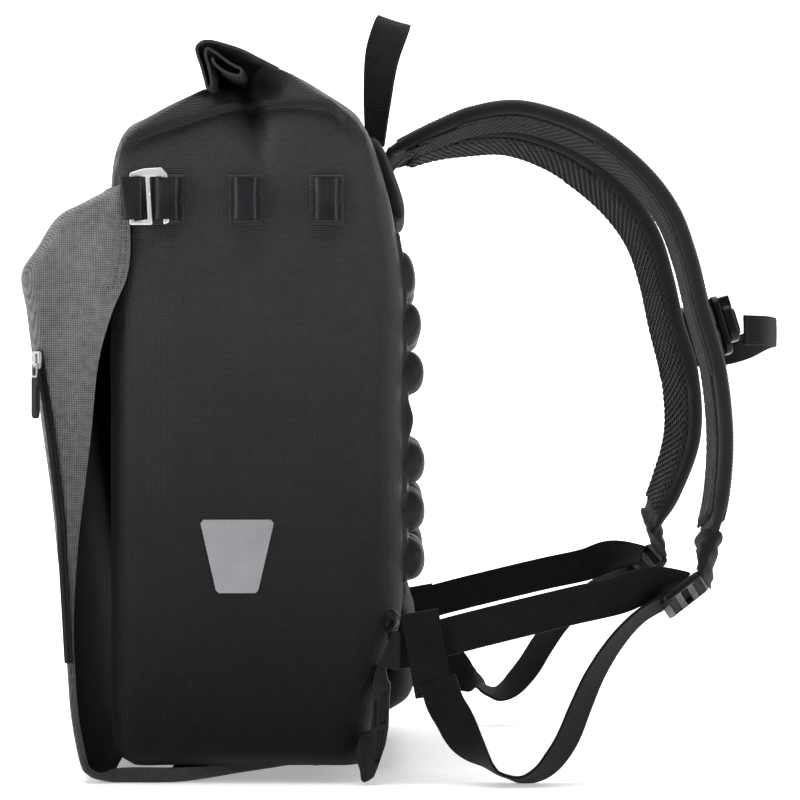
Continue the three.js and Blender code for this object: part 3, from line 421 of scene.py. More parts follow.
class Surface:
    """A material's node tree, with short calls for the nodes that the finishes share."""

    def __init__(self, name, color, roughness, metallic=0.0, specular=0.5):
        self.material = bpy.data.materials.new(name)
        self.material.use_nodes = True
        self.tree = self.material.node_tree
        self.shader = self.tree.nodes["Principled BSDF"]
        self.set("Base Color", (*color, 1))
        self.set("Roughness", roughness)
        self.set("Metallic", metallic)
        self.set("Specular IOR Level", specular)
        coordinates = self.node("ShaderNodeTexCoord")
        self.place = coordinates.outputs["Object"]
        self.uv = coordinates.outputs["UV"]

    def folded(self):
        """Places with both sides of the pack laid on one another: X, distance from the middle, Z."""
        parts = self.node("ShaderNodeSeparateXYZ")
        whole = self.node("ShaderNodeCombineXYZ")
        self.link(self.place, parts.inputs[0])
        self.link(parts.outputs["X"], whole.inputs["X"])
        self.link(self.math("ABSOLUTE", parts.outputs["Y"]), whole.inputs["Y"])
        self.link(parts.outputs["Z"], whole.inputs["Z"])
        return whole.outputs[0]

    def set(self, socket, value):
        self.shader.inputs[socket].default_value = value

    def node(self, kind, **settings):
        made = self.tree.nodes.new(kind)
        for name, value in settings.items():
            setattr(made, name, value)
        return made

    def link(self, output, socket):
        self.tree.links.new(output, socket)

    def feed(self, socket, value):
        if isinstance(value, (int, float)):
            socket.default_value = value
        else:
            self.link(value, socket)

    def math(self, operation, a, b=0.0, clamp=False):
        made = self.node("ShaderNodeMath", operation=operation, use_clamp=clamp)
        self.feed(made.inputs[0], a)
        self.feed(made.inputs[1], b)
        return made.outputs[0]

    def along(self, vector, direction, per_metre):
        """How far a place lies along a direction, in turns of a pattern."""
        made = self.node("ShaderNodeVectorMath", operation="DOT_PRODUCT")
        self.link(vector, made.inputs[0])
        made.inputs[1].default_value = [value * per_metre * 2 * math.pi for value in direction]
        return made.outputs["Value"]

    def wave(self, vector, direction, pitch):
        return self.math("SINE", self.along(vector, direction, 1 / pitch))

    def noise(self, scale, detail):
        made = self.node("ShaderNodeTexNoise")
        made.inputs["Scale"].default_value = scale
        made.inputs["Detail"].default_value = detail
        self.link(self.place, made.inputs["Vector"])
        return made.outputs["Fac"]

    def uneven(self, low, high, scale, detail):
        """Roughness that changes between two values by a cloudiness."""
        worn = self.ramp(self.noise(scale, detail), low, high, 0.3, 0.7)
        self.link(worn, self.shader.inputs["Roughness"])

    def sheen(self, weight, roughness):
        self.set("Sheen Weight", weight)
        self.set("Sheen Roughness", roughness)

    def ramp(self, value, low, high, from_low=0.0, from_high=1.0):
        """Maps a value from one range to another."""
        made = self.node("ShaderNodeMapRange")
        self.feed(made.inputs["Value"], value)
        made.inputs["From Min"].default_value = from_low
        made.inputs["From Max"].default_value = from_high
        made.inputs["To Min"].default_value = low
        made.inputs["To Max"].default_value = high
        return made.outputs["Result"]

    def color_between(self, share, first, second):
        made = self.node("ShaderNodeMix", data_type="RGBA")
        self.feed(made.inputs[0], share)
        made.inputs[6].default_value = (*first, 1)
        made.inputs[7].default_value = (*second, 1)
        self.link(made.outputs[2], self.shader.inputs["Base Color"])
        return made.outputs[2]

    def two_tones(self, pattern, cloud, dark, light):
        """Colours between two tones by a pattern and a cloudiness, each with its range and value."""
        low, high, value = pattern
        first = self.ramp(value, low, high, -1, 1)
        low, high, value = cloud
        second = self.ramp(value, low, high, 0.3, 0.7)
        self.color_between(self.math("ADD", first, second, clamp=True), dark, light)

    def bump(self, height, distance, strength=1.0, under=None):
        made = self.node("ShaderNodeBump")
        made.inputs["Strength"].default_value = strength
        made.inputs["Distance"].default_value = distance
        self.link(height, made.inputs["Height"])
        if under is not None:
            self.link(under, made.inputs["Normal"])
        self.link(made.outputs["Normal"], self.shader.inputs["Normal"])
        return made.outputs["Normal"]


def coated_twill(name, dark, light, roughness, foot=None, depth=0.5):
    """Coated fabric: a fine diamond twill under a thin coat, uneven where it has been handled.

    Its foot is painted shade: two heights and how much of its light tone is left at the lower one, which
    darkens the colour and the specular level towards the bottom, where the lamps give less light.
    """
    finish = Surface(name, dark, roughness, specular=0.42)
    pitch = 0.0027
    cloth = finish.folded()
    left = finish.wave(cloth, (1, -0.6, 0.9), pitch)
    right = finish.wave(cloth, (1, -1.4, -0.9), pitch)
    twill = finish.math("MULTIPLY", left, right)
    cloudy = finish.noise(14, 4)
    slubs = finish.noise(220, 2)
    share = finish.math("ADD", finish.ramp(twill, -depth, depth, -1, 1),
                        finish.ramp(cloudy, 0.4, 0.62, 0.3, 0.7))
    share = finish.math("ADD", share, finish.ramp(slubs, -0.12, 0.12, 0.3, 0.7), clamp=True)
    # Painted shade: below the foot's upper height the colour and the specular level fade towards the
    # bottom.
    if foot:
        low, high, left = foot
        height = finish.node("ShaderNodeSeparateXYZ")
        finish.link(finish.place, height.inputs[0])
        fade = finish.ramp(height.outputs["Z"], left, 1.0, low, high)
        share = finish.math("MULTIPLY", share, fade)
        finish.link(finish.ramp(fade, 0.02, 0.42, 0.0, 1.0), finish.shader.inputs["Specular IOR Level"])
    finish.color_between(share, dark, light)
    finish.uneven(roughness - 0.07, roughness + 0.09, 45, 5)
    weave = finish.bump(twill, 0.0002, 1.0)
    finish.bump(finish.noise(90, 4), 0.0006, 0.35, weave)
    finish.sheen(0.06, 0.5)
    return finish.material


def ribbed_webbing(name, dark, light, pitch=0.0016):
    """Woven webbing: ribs straight across it, with the yarns' fine slant on each."""
    finish = Surface(name, dark, 0.75, specular=0.12)
    ribs = finish.wave(finish.uv, (0, 1, 0), pitch)
    yarns = finish.wave(finish.uv, (1, 0.55, 0), pitch * 0.62)
    weave = finish.math("ADD", finish.math("MULTIPLY", ribs, 0.7), finish.math("MULTIPLY", yarns, 0.3))
    finish.two_tones((0.0, 0.65, weave), (-0.1, 0.3, finish.noise(60, 3)), dark, light)
    under = finish.bump(weave, 0.00022, 0.9)
    finish.bump(finish.noise(700, 2), 0.0001, 0.4, under)
    finish.sheen(0.06, 0.4)
    return finish.material


def plain_weave(name, dark, light, gloss=0.3, nap=0.15):
    """Uncoated fabric over foam: a fine plain weave with a soft nap."""
    finish = Surface(name, dark, 0.82, specular=gloss)
    pitch = 0.0009
    warp = finish.wave(finish.uv, (1, 0, 0), pitch)
    weft = finish.wave(finish.uv, (0, 1, 0), pitch)
    weave = finish.math("MULTIPLY", warp, weft)
    finish.two_tones((0.1, 0.5, weave), (-0.1, 0.4, finish.noise(30, 4)), dark, light)
    under = finish.bump(weave, 0.0001, 0.6)
    finish.bump(finish.noise(160, 3), 0.0005, 0.25, under)
    finish.sheen(nap, 0.45)
    return finish.material


def knitted_mesh(name, dark, light):
    """Yarn of the spacer mesh: dull filaments with a lighter tone along a wave of the yarn, a painted
    highlight for the lit crowns of the loops.
    """
    finish = Surface(name, dark, 0.78, specular=0.3)
    yarn = finish.wave(finish.uv, (0.4, 1, 0), 0.0011)
    # The light tone is a painted highlight.
    finish.two_tones((0.1, 0.7, yarn), (-0.2, 0.3, finish.noise(120, 3)), dark, light)
    finish.bump(yarn, 0.00015, 0.7)
    finish.set("Sheen Weight", 0.12)
    return finish.material


def moulded(name, dark, light, roughness, grain=0.00006):
    """Moulded plastic or foam skin with a fine spark-eroded grain and a slightly cloudy tone."""
    finish = Surface(name, dark, roughness, specular=0.22)
    finish.color_between(finish.ramp(finish.noise(35, 4), 0.0, 1.0, 0.3, 0.7), dark, light)
    finish.uneven(roughness - 0.08, roughness + 0.1, 80, 3)
    finish.bump(finish.noise(1500, 2), grain, 0.8)
    return finish.material


def polished_aluminium(name, tone=1.0):
    """Tumbled and polished aluminium wire with a faint fine grain."""
    finish = Surface(name, (0.86, 0.87, 0.88), 0.2, metallic=0.35)
    finish.uneven(0.12, 0.3, 260, 4)
    finish.color_between(finish.noise(70, 3), (0.8 * tone, 0.81 * tone, 0.82 * tone),
                         (0.92 * tone, 0.92 * tone, 0.93 * tone))
    finish.bump(finish.noise(600, 3), 0.00003, 0.5)
    return finish.material


def reflective_film(name):
    """Grey reflective film: a fine lattice of tiny prisms under a clear face."""
    finish = Surface(name, (0.36, 0.36, 0.38), 0.42, specular=0.5)
    cells = finish.node("ShaderNodeTexVoronoi", feature="DISTANCE_TO_EDGE")
    cells.inputs["Scale"].default_value = 620
    cells.inputs["Randomness"].default_value = 0.12
    finish.link(finish.place, cells.inputs["Vector"])
    web = finish.ramp(cells.outputs["Distance"], 0.0, 1.0, 0.02, 0.2)
    share = finish.math("ADD", finish.math("MULTIPLY", web, 0.6),
                        finish.ramp(finish.noise(60, 3), 0.0, 0.4, 0.3, 0.7), clamp=True)
    finish.color_between(share, (0.24, 0.24, 0.255), (0.34, 0.34, 0.36))
    finish.bump(web, 0.00004, 0.6)
    finish.set("Coat Weight", 0.25)
    finish.set("Coat Roughness", 0.25)
    return finish.material


def twisted_thread(name, color):
    finish = Surface(name, color, 0.6, specular=0.4)
    strands = finish.wave(finish.place, (0.6, 0.6, 1), 0.0007)
    finish.color_between(finish.ramp(strands, 0.2, 0.9, -1, 1), color,
                         tuple(min(1, c * 2.2) for c in color))
    finish.bump(strands, 0.00006, 0.6)
    return finish.material


# The fifth value of each coated fabric is its foot: painted shade that darkens it towards the bottom.
bag_fabric = coated_twill("bag_fabric", (0.002, 0.002, 0.003), (0.024, 0.024, 0.025), 0.48,
                          (0.0, 0.4, 0.06), 0.4)
# The cover's lighter tone is partly its own and partly painted light, for the light its tilted wings catch
# from the left lamp.
cover_fabric = coated_twill("cover_fabric", (0.008, 0.008, 0.008), (0.28, 0.28, 0.276), 0.52,
                            (-0.06, 0.36, 0.05), 0.4)
webbing = ribbed_webbing("webbing", (0.002, 0.002, 0.003), (0.009, 0.009, 0.011), 0.0013)
haul_webbing = ribbed_webbing("haul_webbing", (0.008, 0.008, 0.009), (0.02, 0.02, 0.022), 0.0013)
pad_fabric = plain_weave("pad_fabric", (0.003, 0.003, 0.004), (0.012, 0.012, 0.014), 0.2, 0.08)
mesh_yarn = knitted_mesh("mesh_yarn", (0.012, 0.012, 0.013), (0.052, 0.052, 0.053))
mesh_ground = plain_weave("mesh_ground", (0.0015, 0.0015, 0.002), (0.004, 0.004, 0.005))
foam_skin = moulded("foam_skin", (0.006, 0.006, 0.0075), (0.013, 0.013, 0.016), 0.46, 0.00012)
binding_tape = plain_weave("binding_tape", (0.004, 0.004, 0.005), (0.012, 0.012, 0.014))
black_plastic = moulded("black_plastic", (0.003, 0.003, 0.0035), (0.006, 0.006, 0.007), 0.36)
# The inside of the cover is near black with almost no gloss: painted shade for the dark gap between the
# cover and the bag.
painted_shade_lining = plain_weave("painted_shade_lining", (0.0004, 0.0004, 0.0004), (0.001, 0.001, 0.001), 0.05, 0.0)
aluminium = polished_aluminium("aluminium")
dull_aluminium = polished_aluminium("dull_aluminium", 0.45)
film = reflective_film("film")
dark_thread = twisted_thread("dark_thread", (0.01, 0.01, 0.011))


def dress(mesh, *materials):
    for material in materials:
        mesh.materials.append(material)
    return mesh


# Repeated shapes, made by geometry nodes

def tree_with_inputs(name, sockets):
    tree = bpy.data.node_groups.new(name, "GeometryNodeTree")
    tree.interface.new_socket("Geometry", in_out="INPUT", socket_type="NodeSocketGeometry")
    for label, kind in sockets:
        tree.interface.new_socket(label, in_out="INPUT", socket_type=kind)
    tree.interface.new_socket("Geometry", in_out="OUTPUT", socket_type="NodeSocketGeometry")
    return tree


def set_inputs(modifier, **values):
    """Sets a modifier's inputs by their sockets' identifiers."""
    for item in modifier.node_group.interface.items_tree:
        if item.item_type == "SOCKET" and item.in_out == "INPUT" and item.name in values:
            modifier[item.identifier] = values[item.name]


def nodes_of(tree, *kinds):
    return [tree.nodes.new(kind) for kind in kinds]


def wire(tree, *pairs):
    for output, socket in pairs:
        tree.links.new(output, socket)


def turned_to(tree, first, second):
    """A rotation with Z along the first vector and X along the second."""
    outwards, lengthways = nodes_of(tree, *["FunctionNodeAlignRotationToVector"] * 2)
    outwards.axis = "Z"
    lengthways.axis = "X"
    lengthways.pivot_axis = "Z"
    wire(tree, (first, outwards.inputs["Vector"]), (second, lengthways.inputs["Vector"]),
         (outwards.outputs["Rotation"], lengthways.inputs["Rotation"]))
    return lengthways.outputs["Rotation"]


def stored_vector(tree, name):
    made = tree.nodes.new("GeometryNodeInputNamedAttribute")
    made.data_type = "FLOAT_VECTOR"
    made.inputs["Name"].default_value = name
    return made.outputs["Attribute"]


def finish_tree(tree, instances, material):
    realize, paint, out = nodes_of(
        tree, "GeometryNodeRealizeInstances", "GeometryNodeSetMaterial", "NodeGroupOutput")
    wire(tree, (instances, realize.inputs[0]), (realize.outputs[0], paint.inputs["Geometry"]),
         (material, paint.inputs["Material"]), (paint.outputs[0], out.inputs[0]))


def copies_along_path_tree(name, bead):
    """Copies of a small shape along paths: beads for stitches, blocks for zip teeth."""
    tree = tree_with_inputs(name, (("Pitch", "NodeSocketFloat"), ("Size", "NodeSocketVector"),
                                   ("Material", "NodeSocketMaterial")))
    given, curve, spaced, tangent, place, shape = nodes_of(
        tree, "NodeGroupInput", "GeometryNodeMeshToCurve", "GeometryNodeResampleCurve",
        "GeometryNodeInputTangent", "GeometryNodeInstanceOnPoints",
        "GeometryNodeMeshUVSphere" if bead else "GeometryNodeMeshCube")
    spaced.mode = "LENGTH"
    if bead:
        shape.inputs["Segments"].default_value = 6
        shape.inputs["Rings"].default_value = 4
        shape.inputs["Radius"].default_value = 0.5
    rotation = turned_to(tree, stored_vector(tree, "outward"), tangent.outputs[0])
    wire(tree,
         (given.outputs["Geometry"], curve.inputs[0]),
         (curve.outputs[0], spaced.inputs["Curve"]),
         (given.outputs["Pitch"], spaced.inputs["Length"]),
         (spaced.outputs[0], place.inputs["Points"]),
         (shape.outputs[0], place.inputs["Instance"]),
         (rotation, place.inputs["Rotation"]),
         (given.outputs["Size"], place.inputs["Scale"]))
    finish_tree(tree, place.outputs[0], given.outputs["Material"])
    return tree


def loops_on_faces_tree(name):
    """A ring of yarn on each face of a net, turned to the net's outward and lengthways directions."""
    tree = tree_with_inputs(name, (("Loop", "NodeSocketFloat"), ("Yarn", "NodeSocketFloat"),
                                   ("Material", "NodeSocketMaterial")))
    given, points, ring, yarn, tube, place = nodes_of(
        tree, "NodeGroupInput", "GeometryNodeMeshToPoints", "GeometryNodeCurvePrimitiveCircle",
        "GeometryNodeCurvePrimitiveCircle", "GeometryNodeCurveToMesh", "GeometryNodeInstanceOnPoints")
    points.mode = "FACES"
    ring.inputs["Resolution"].default_value = 8
    yarn.inputs["Resolution"].default_value = 4
    rotation = turned_to(tree, stored_vector(tree, "outward"), stored_vector(tree, "lengthways"))
    wire(tree,
         (given.outputs["Geometry"], points.inputs["Mesh"]),
         (given.outputs["Loop"], ring.inputs["Radius"]),
         (given.outputs["Yarn"], yarn.inputs["Radius"]),
         (ring.outputs[0], tube.inputs["Curve"]),
         (yarn.outputs[0], tube.inputs["Profile Curve"]),
         (points.outputs[0], place.inputs["Points"]),
         (tube.outputs[0], place.inputs["Instance"]),
         (rotation, place.inputs["Rotation"]),
         (stored_vector(tree, "stretch"), place.inputs["Scale"]))
    finish_tree(tree, place.outputs[0], given.outputs["Material"])
    return tree


stitch_tree = copies_along_path_tree("stitches_along_a_path", bead=True)
teeth_tree = copies_along_path_tree("teeth_along_a_path", bead=False)
net_tree = loops_on_faces_tree("yarn_loops_on_a_net")


def grown_mesh(name, mesh, tree, **inputs):
    """Runs a geometry nodes tree on a mesh and returns the plain mesh that it makes."""
    carrier = object_of(name, mesh)
    modifier = carrier.modifiers.new("grow", "NODES")
    modifier.node_group = tree
    set_inputs(modifier, **inputs)
    grown = finished_mesh(carrier)
    bpy.data.objects.remove(carrier)
    grown.name = name
    grown.shade_smooth()
    return grown


def path_mesh(name, paths):
    """Edges along paths, each a list of a place and its outward direction."""
    points, edges, outward = [], [], []
    for path in paths:
        start = len(points)
        for place, out in path:
            points.append(tuple(place))
            outward.append(tuple(out))
        edges += [(start + i, start + i + 1) for i in range(len(path) - 1)]
    mesh = bpy.data.meshes.new(name)
    mesh.from_pydata(points, edges, [])
    layer = mesh.attributes.new("outward", "FLOAT_VECTOR", "POINT")
    layer.data.foreach_set("vector", np.array(outward, dtype=float).ravel())
    return mesh


stitch_rows = []


def stitch(path):
    """Remembers one row of stitches. They are all made together, near the script's end."""
    stitch_rows.append([(Vector(place) + Vector(out) * 0.00015, Vector(out)) for place, out in path])


def straight_row(start, end, outward, steps=2):
    start, end = Vector(start), Vector(end)
    return [(start.lerp(end, i / steps), outward) for i in range(steps + 1)]


# The main bag

BagLevel = namedtuple("BagLevel", "front_depth front_height back_depth back_height half tuck corner")
bag_levels = [BagLevel(*row) for row in (
    (0.072, 0.0, 0.856, 0.0, 0.9, 0.0, 0.6),
    (0.02, 0.021, 0.881, 0.023, 0.975, 0.0, 0.85),
    (0.0, 0.071, 0.907, 0.081, 1.0, 0.0, 1.0),
    (0.0, 0.169, 0.978, 0.175, 1.0, 0.0, 1.0),
    (0.0, 0.238, 1.0, 0.244, 1.0, 0.0, 1.0),
    (0.0, 0.38, 1.0, 0.38, 1.0, 0.0, 1.0),
    (0.0, 0.52, 1.0, 0.52, 1.0, 0.0, 1.0),
    (0.0, 0.665, 1.0, 0.665, 1.0, 0.0, 1.0),
    (0.0, 0.748, 0.969, 0.752, 1.0, 0.0, 1.0),
    (-0.003, 0.8, 0.941, 0.806, 1.0, 0.0, 0.9),
    (0.013, 0.846, 0.905, 0.85, 1.0, 0.01, 0.75),
    (0.058, 0.879, 0.871, 0.881, 1.005, 0.03, 0.6),
    (0.137, 0.896, 0.83, 0.904, 1.01, 0.06, 0.5),
    (0.206, 0.91, 0.727, 0.931, 1.015, 0.12, 0.45),
    (0.268, 0.923, 0.628, 0.953, 1.02, 0.22, 0.4),
    (0.32, 0.932, 0.536, 0.967, 1.02, 0.32, 0.35),
)]
tuck_power = 1.9

# The crown of the bag's side and the crease that runs below its two ridges, in X and Z
crown_line = (
    (-0.028, 0.392), (-0.019, 0.4285), (-0.0092, 0.4356), (0.0106, 0.4475), (0.0363, 0.4594),
    (0.052, 0.467),
    (0.062, 0.477), (0.072, 0.4785), (0.093, 0.469), (0.1175, 0.454), (0.137, 0.44), (0.1426, 0.431),
    (0.153, 0.398),
)
crease_line = (
    (-0.028, 0.38), (-0.019, 0.418), (-0.0066, 0.4283), (0.0363, 0.4422), (0.052, 0.447), (0.062, 0.448),
    (0.1, 0.4495), (0.1188, 0.4468), (0.1386, 0.4277), (0.153, 0.385),
)
ridge_round = 0.010
crease_depth = 0.0085
crease_fade = 0.026


def line_height(line, x):
    """The height of a line of places at X."""
    for (x0, z0), (x1, z1) in zip(line, line[1:]):
        if x <= x1:
            return mix(z0, z1, min(max((x - x0) / (x1 - x0), 0.0), 1.0))
    return line[-1][1]


def side_tuck(x, z):
    """How far the bag's side is tucked in near its top: rounded ridges above a fading crease."""
    crease = line_height(crease_line, x)
    crown = line_height(crown_line, x)
    above = min(max((z - crease) / max(crown - crease, 0.004), 0.0), 1.0)
    rounding = ridge_round * (1 - math.sqrt(1 - above ** 2.6))
    under = 1 - soft_step((z - crease + 0.0035) / 0.0065)
    ends = soft_step((x + 0.026) / 0.02) * soft_step((0.15 - x) / 0.02)
    fall = crease_depth * math.exp(-max(crease - z, 0.0) / crease_fade) * under * ends
    valley_x = 0.0575 + 0.28 * max(0.47 - z, 0.0)
    valley = 0.016 * hill(x - valley_x, 0.0075) * soft_step((z - 0.405) / 0.06)
    return rounding + fall + valley


levels_between = 9

# Soft folds on the bag's sides, from one place to another in X and Z; a valley's height is below zero
Fold = namedtuple("Fold", "from_x from_z to_x to_z width height")
side_folds = [Fold(*row) for row in (
    (0.069, 0.446, 0.073, 0.412, 0.0065, -0.0022),
    (0.000, 0.024, 0.027, 0.056, 0.0070, 0.0013),
    (0.014, 0.020, 0.040, 0.046, 0.0060, -0.0009),
    (0.070, 0.352, 0.100, 0.362, 0.0120, -0.0008),
    (0.086, 0.340, 0.120, 0.352, 0.0100, 0.0006),
    (0.020, 0.352, 0.052, 0.336, 0.0120, 0.0006),
    (0.144, 0.365, 0.147, 0.250, 0.0028, -0.0006),
    (0.147, 0.250, 0.143, 0.148, 0.0028, -0.0006),
    (0.128, 0.070, 0.150, 0.096, 0.0090, 0.0010),
)]
ripple_heights = (0.341, 0.308, 0.276, 0.218, 0.187, 0.154)


def fold_height(fold, x, z):
    run_x, run_z = fold.to_x - fold.from_x, fold.to_z - fold.from_z
    length = math.hypot(run_x, run_z)
    along = ((x - fold.from_x) * run_x + (z - fold.from_z) * run_z) / length ** 2
    aside = ((x - fold.from_x) * run_z - (z - fold.from_z) * run_x) / length
    past = max(0.0, -along, along - 1) * length
    return fold.height * hill(aside, fold.width) * hill(past, fold.width * 2.2)


def side_relief(x, z):
    """How far the bag's side stands out from its plain form."""
    edge = soft_step((x - front_wall) / 0.05) * soft_step((back_wall - x) / 0.05)
    full = 0.0045 * edge * soft_step((z - 0.03) / 0.09) * soft_step((0.4 - z) / 0.12)
    folds = sum(fold_height(fold, x, z) for fold in side_folds)
    ripples = sum(hill(z - height, 0.0075) for height in ripple_heights)
    ripples *= 0.0013 * soft_step((x - 0.136) / 0.018)
    slack = 0.0011 * edge * noise.noise(Vector((x * 14, z * 11, 3.7)))
    return full + folds + ripples + slack


def bag_section(level):
    """One closed row of the bag: near side, back, far side and front."""
    level = BagLevel(*level)
    front = Vector((depth_at(level.front_depth), 0, height_at(level.front_height)))
    back = Vector((depth_at(level.back_depth), 0, height_at(level.back_height)))
    run = back - front
    length = run.length
    run.normalize()
    half = level.half * half_bag
    front_radius = max(level.corner * front_corner, 0.0008)
    back_radius = max(level.corner * back_corner, 0.0008)

    def tucked(x):
        place = front + run * x
        valley = max(level.tuck, 0.0) * half_bag * (1 - abs(2 * x / length - 1) ** tuck_power)
        return valley + side_tuck(place.x, place.z)

    corner_steps, side_steps, wall_steps = 7, 96, 24
    profile = []
    for i in range(corner_steps + 1):
        angle = i * math.pi / 2 / corner_steps
        x = front_radius * (1 - math.cos(angle))
        profile.append((x, half - tucked(x) - front_radius * (1 - math.sin(angle))))
    for i in range(1, side_steps):
        x = front_radius + (length - front_radius - back_radius) * i / side_steps
        profile.append((x, half - tucked(x)))
    for i in range(corner_steps, -1, -1):
        angle = i * math.pi / 2 / corner_steps
        x = length - back_radius * (1 - math.cos(angle))
        profile.append((x, half - tucked(x) - back_radius * (1 - math.sin(angle))))
    row = [(x, -y) for x, y in profile]
    row += [(length, mix(profile[-1][1], -profile[-1][1], i / wall_steps) * -1)
            for i in range(1, wall_steps)]
    row += [(x, y) for x, y in reversed(profile)]
    row += [(0.0, mix(profile[0][1], -profile[0][1], i / wall_steps)) for i in range(1, wall_steps)]
    return [front + run * x + across * y for x, y in row]


def grid_normals(grid, middle, closed):
    """Unit normals of a grid of rows, turned away from a middle place."""
    around = np.roll(grid, -1, axis=1) - np.roll(grid, 1, axis=1) if closed else np.gradient(grid, axis=1)
    normals = np.cross(around, np.gradient(grid, axis=0))
    normals /= np.maximum(np.linalg.norm(normals, axis=2, keepdims=True), 1e-12)
    outwards = ((grid - middle) * normals).sum(axis=2).mean() > 0
    return normals if outwards else -normals


def make_bag():
    steps = (len(bag_levels) - 1) * levels_between
    rows = [bag_section(row_between(bag_levels, i / levels_between)) for i in range(steps + 1)]

    def shrunk(row, shares):
        middle = sum(row, Vector()) / len(row)
        return [[middle + (p - middle) * share for p in row] for share in shares]

    rows = shrunk(rows[0], (0.05, 0.4, 0.75)) + rows + shrunk(rows[-1], (0.85, 0.4, 0.05))
    grid = np.array([[tuple(p) for p in row] for row in rows])
    normals = grid_normals(grid, grid.reshape(-1, 3).mean(axis=0), closed=True)
    for r in range(3, len(grid) - 3):
        for c in range(grid.shape[1]):
            x, y, z = grid[r, c]
            facing = abs(normals[r, c, 1])
            lift = side_relief(x, z) * facing if facing > 0.05 else 0.0
            lift += 0.0007 * noise.noise(Vector((x * 30, y * 16, z * 30))) * (1 - facing)
            grid[r, c] += normals[r, c] * lift
    mesh = loft("bag_body", grid)
    face_outwards(mesh)
    mesh.shade_smooth()
    keep_one("bag_body", mesh, bag_fabric, "bag_shell")


make_bag()


def side_place(x, z, side, lift=0.0):
    """A place on the bag's side below its tucks, lifted off it."""
    return Vector((x, side * (half_bag + side_relief(x, z) + lift), z))


# The rolled mouth: a spiral of fabric, as places in X and Z measured from its tip
roll_tip = (0.0366, 0.4883)
roll_wall = 0.0017
roll_turns = (
    (0.0480, -0.0182), (0.0346, -0.0112), (0.0241, -0.0059), (0.0129, -0.0019), (0.0043, 0.0),
    (-0.0003, -0.0006),
    (-0.0036, -0.0039), (-0.0030, -0.0105), (-0.0010, -0.0178), (0.0010, -0.0250), (0.0030, -0.0316),
    (0.0049, -0.0295), (0.0049, -0.0237), (0.0030, -0.0158), (0.0014, -0.0085), (0.0026, -0.0052),
    (0.0069, -0.0072), (0.0142, -0.0125), (0.0201, -0.0165), (0.0243, -0.0190), (0.0232, -0.0226),
    (0.0175, -0.0217), (0.0115, -0.0184), (0.0069, -0.0145), (0.0056, -0.0112),
)


def make_roll():
    course = smooth_course([(roll_tip[0] + x, 0, roll_tip[1] + z) for x, z in roll_turns])
    path = [course(i / 120) for i in range(121)]
    half = half_bag * 1.02
    rows = []
    for y in even_steps(-half, half, 70):
        edge = soft_step((abs(y) - half + 0.03) / 0.03)
        row = []
        for j, p in enumerate(path):
            wave = Vector((p.x * 60, y * 22, p.z * 60))
            slack = 0.0008 * noise.noise(wave) * soft_step(j / 18)
            pinch = 1 + 0.03 * edge
            x = path[0].x + (p.x - path[0].x) * pinch + slack
            row.append(Vector((x, y, p.z + slack * 0.6)))
        rows.append(row)
    mesh = loft("rolled_mouth", rows, closed=False)
    piece = object_of("rolled_mouth", dress(mesh, bag_fabric))
    thickened(piece, roll_wall, 0)
    sharpen(piece.data, 55)
    return keep(piece, ["roll_closure"])


make_roll()


# The front cover: a tray with two wings, and a tongue under the bag

CoverRow = namedtuple("CoverRow", "front_reach front_height edge_reach edge_height half")
cover_rows = [CoverRow(*row) for row in (
    (0.035, 0.996, -0.19, 1.004, 0.99),
    (0.3, 0.975, -0.235, 0.977, 1.0),
    (0.586, 0.951, -0.26, 0.944, 1.0),
    (0.81, 0.901, -0.267, 0.888, 1.0),
    (1.0, 0.855, -0.224, 0.847, 1.0),
    (0.936, 0.791, -0.052, 0.784, 1.0),
    (0.876, 0.728, 0.095, 0.702, 1.0),
    (0.741, 0.595, 0.172, 0.585, 1.0),
    (0.59, 0.407, 0.32, 0.399, 1.0),
    (0.49, 0.28, 0.375, 0.275, 0.995),
    (0.44, 0.178, 0.35, 0.176, 0.99),
    (0.4, 0.111, 0.315, 0.109, 0.98),
    (0.31, 0.036, 0.23, 0.04, 0.96),
    (0.224, 0.015, 0.181, 0.026, 0.95),
    (0.086, 0.006, 0.069, 0.018, 0.94),
)]
wing_gap = 0.0008
cover_wall = 0.0018
rest_strip = 0.038
lip_height = 0.004
tongue_dip = 0.44
half_cover = half_bag + wing_gap + fabric_wall
CoverStation = namedtuple("CoverStation", "front_x front_z edge_x edge_z half")


def cover_stations():
    stations = [CoverStation(
        front_wall - row.front_reach * cover_reach, row.front_height * cover_height,
        front_wall - row.edge_reach * cover_reach, row.edge_height * cover_height, row.half * half_cover,
    ) for row in cover_rows]
    tongue_end = front_wall + tongue_length
    tongue_top = bag_lift - seat_gap
    base = (
        (-rest_strip / 2, 0.0, lip_height * 2.6, 0.93),
        (rest_strip / 2, 0.0, lip_height * 2.6, 0.92),
        ((rest_strip / 2 + tongue_end) / 2, (tongue_top - fabric_wall) * (1 - tongue_dip), lip_height * 1.4,
         0.84),
        (tongue_end, tongue_top - fabric_wall - seat_gap, fabric_wall + seat_gap, 0.7),
    )
    stations += [CoverStation(x, z, x, z + lip, half * half_cover) for x, z, lip, half in base]
    return stations


stations_of_cover = cover_stations()


def cover_row(place):
    """One row of the tray, by its place between the stations: wing, corner, front, corner, wing."""
    station = CoverStation(*row_between(stations_of_cover, place))
    front = Vector((station.front_x, 0, station.front_z))
    wing = Vector((station.edge_x, 0, station.edge_z)) - front
    depth = max(wing.length, 1e-4)
    wing.normalize()
    radius = min(cover_corner, depth * 0.75)
    wing_steps, corner_steps, front_steps = 18, 7, 26
    side = [(mix(depth, radius, i / wing_steps), station.half) for i in range(wing_steps)]
    for i in range(corner_steps + 1):
        angle = i * math.pi / 2 / corner_steps
        side.append((radius * (1 - math.sin(angle)), station.half - radius * (1 - math.cos(angle))))
    row = [(into, -y) for into, y in side]
    row += [(0.0, mix(side[-1][1], -side[-1][1], i / front_steps) * -1) for i in range(1, front_steps)]
    row += [(into, y) for into, y in reversed(side)]
    return [front + wing * into + across * y for into, y in row]


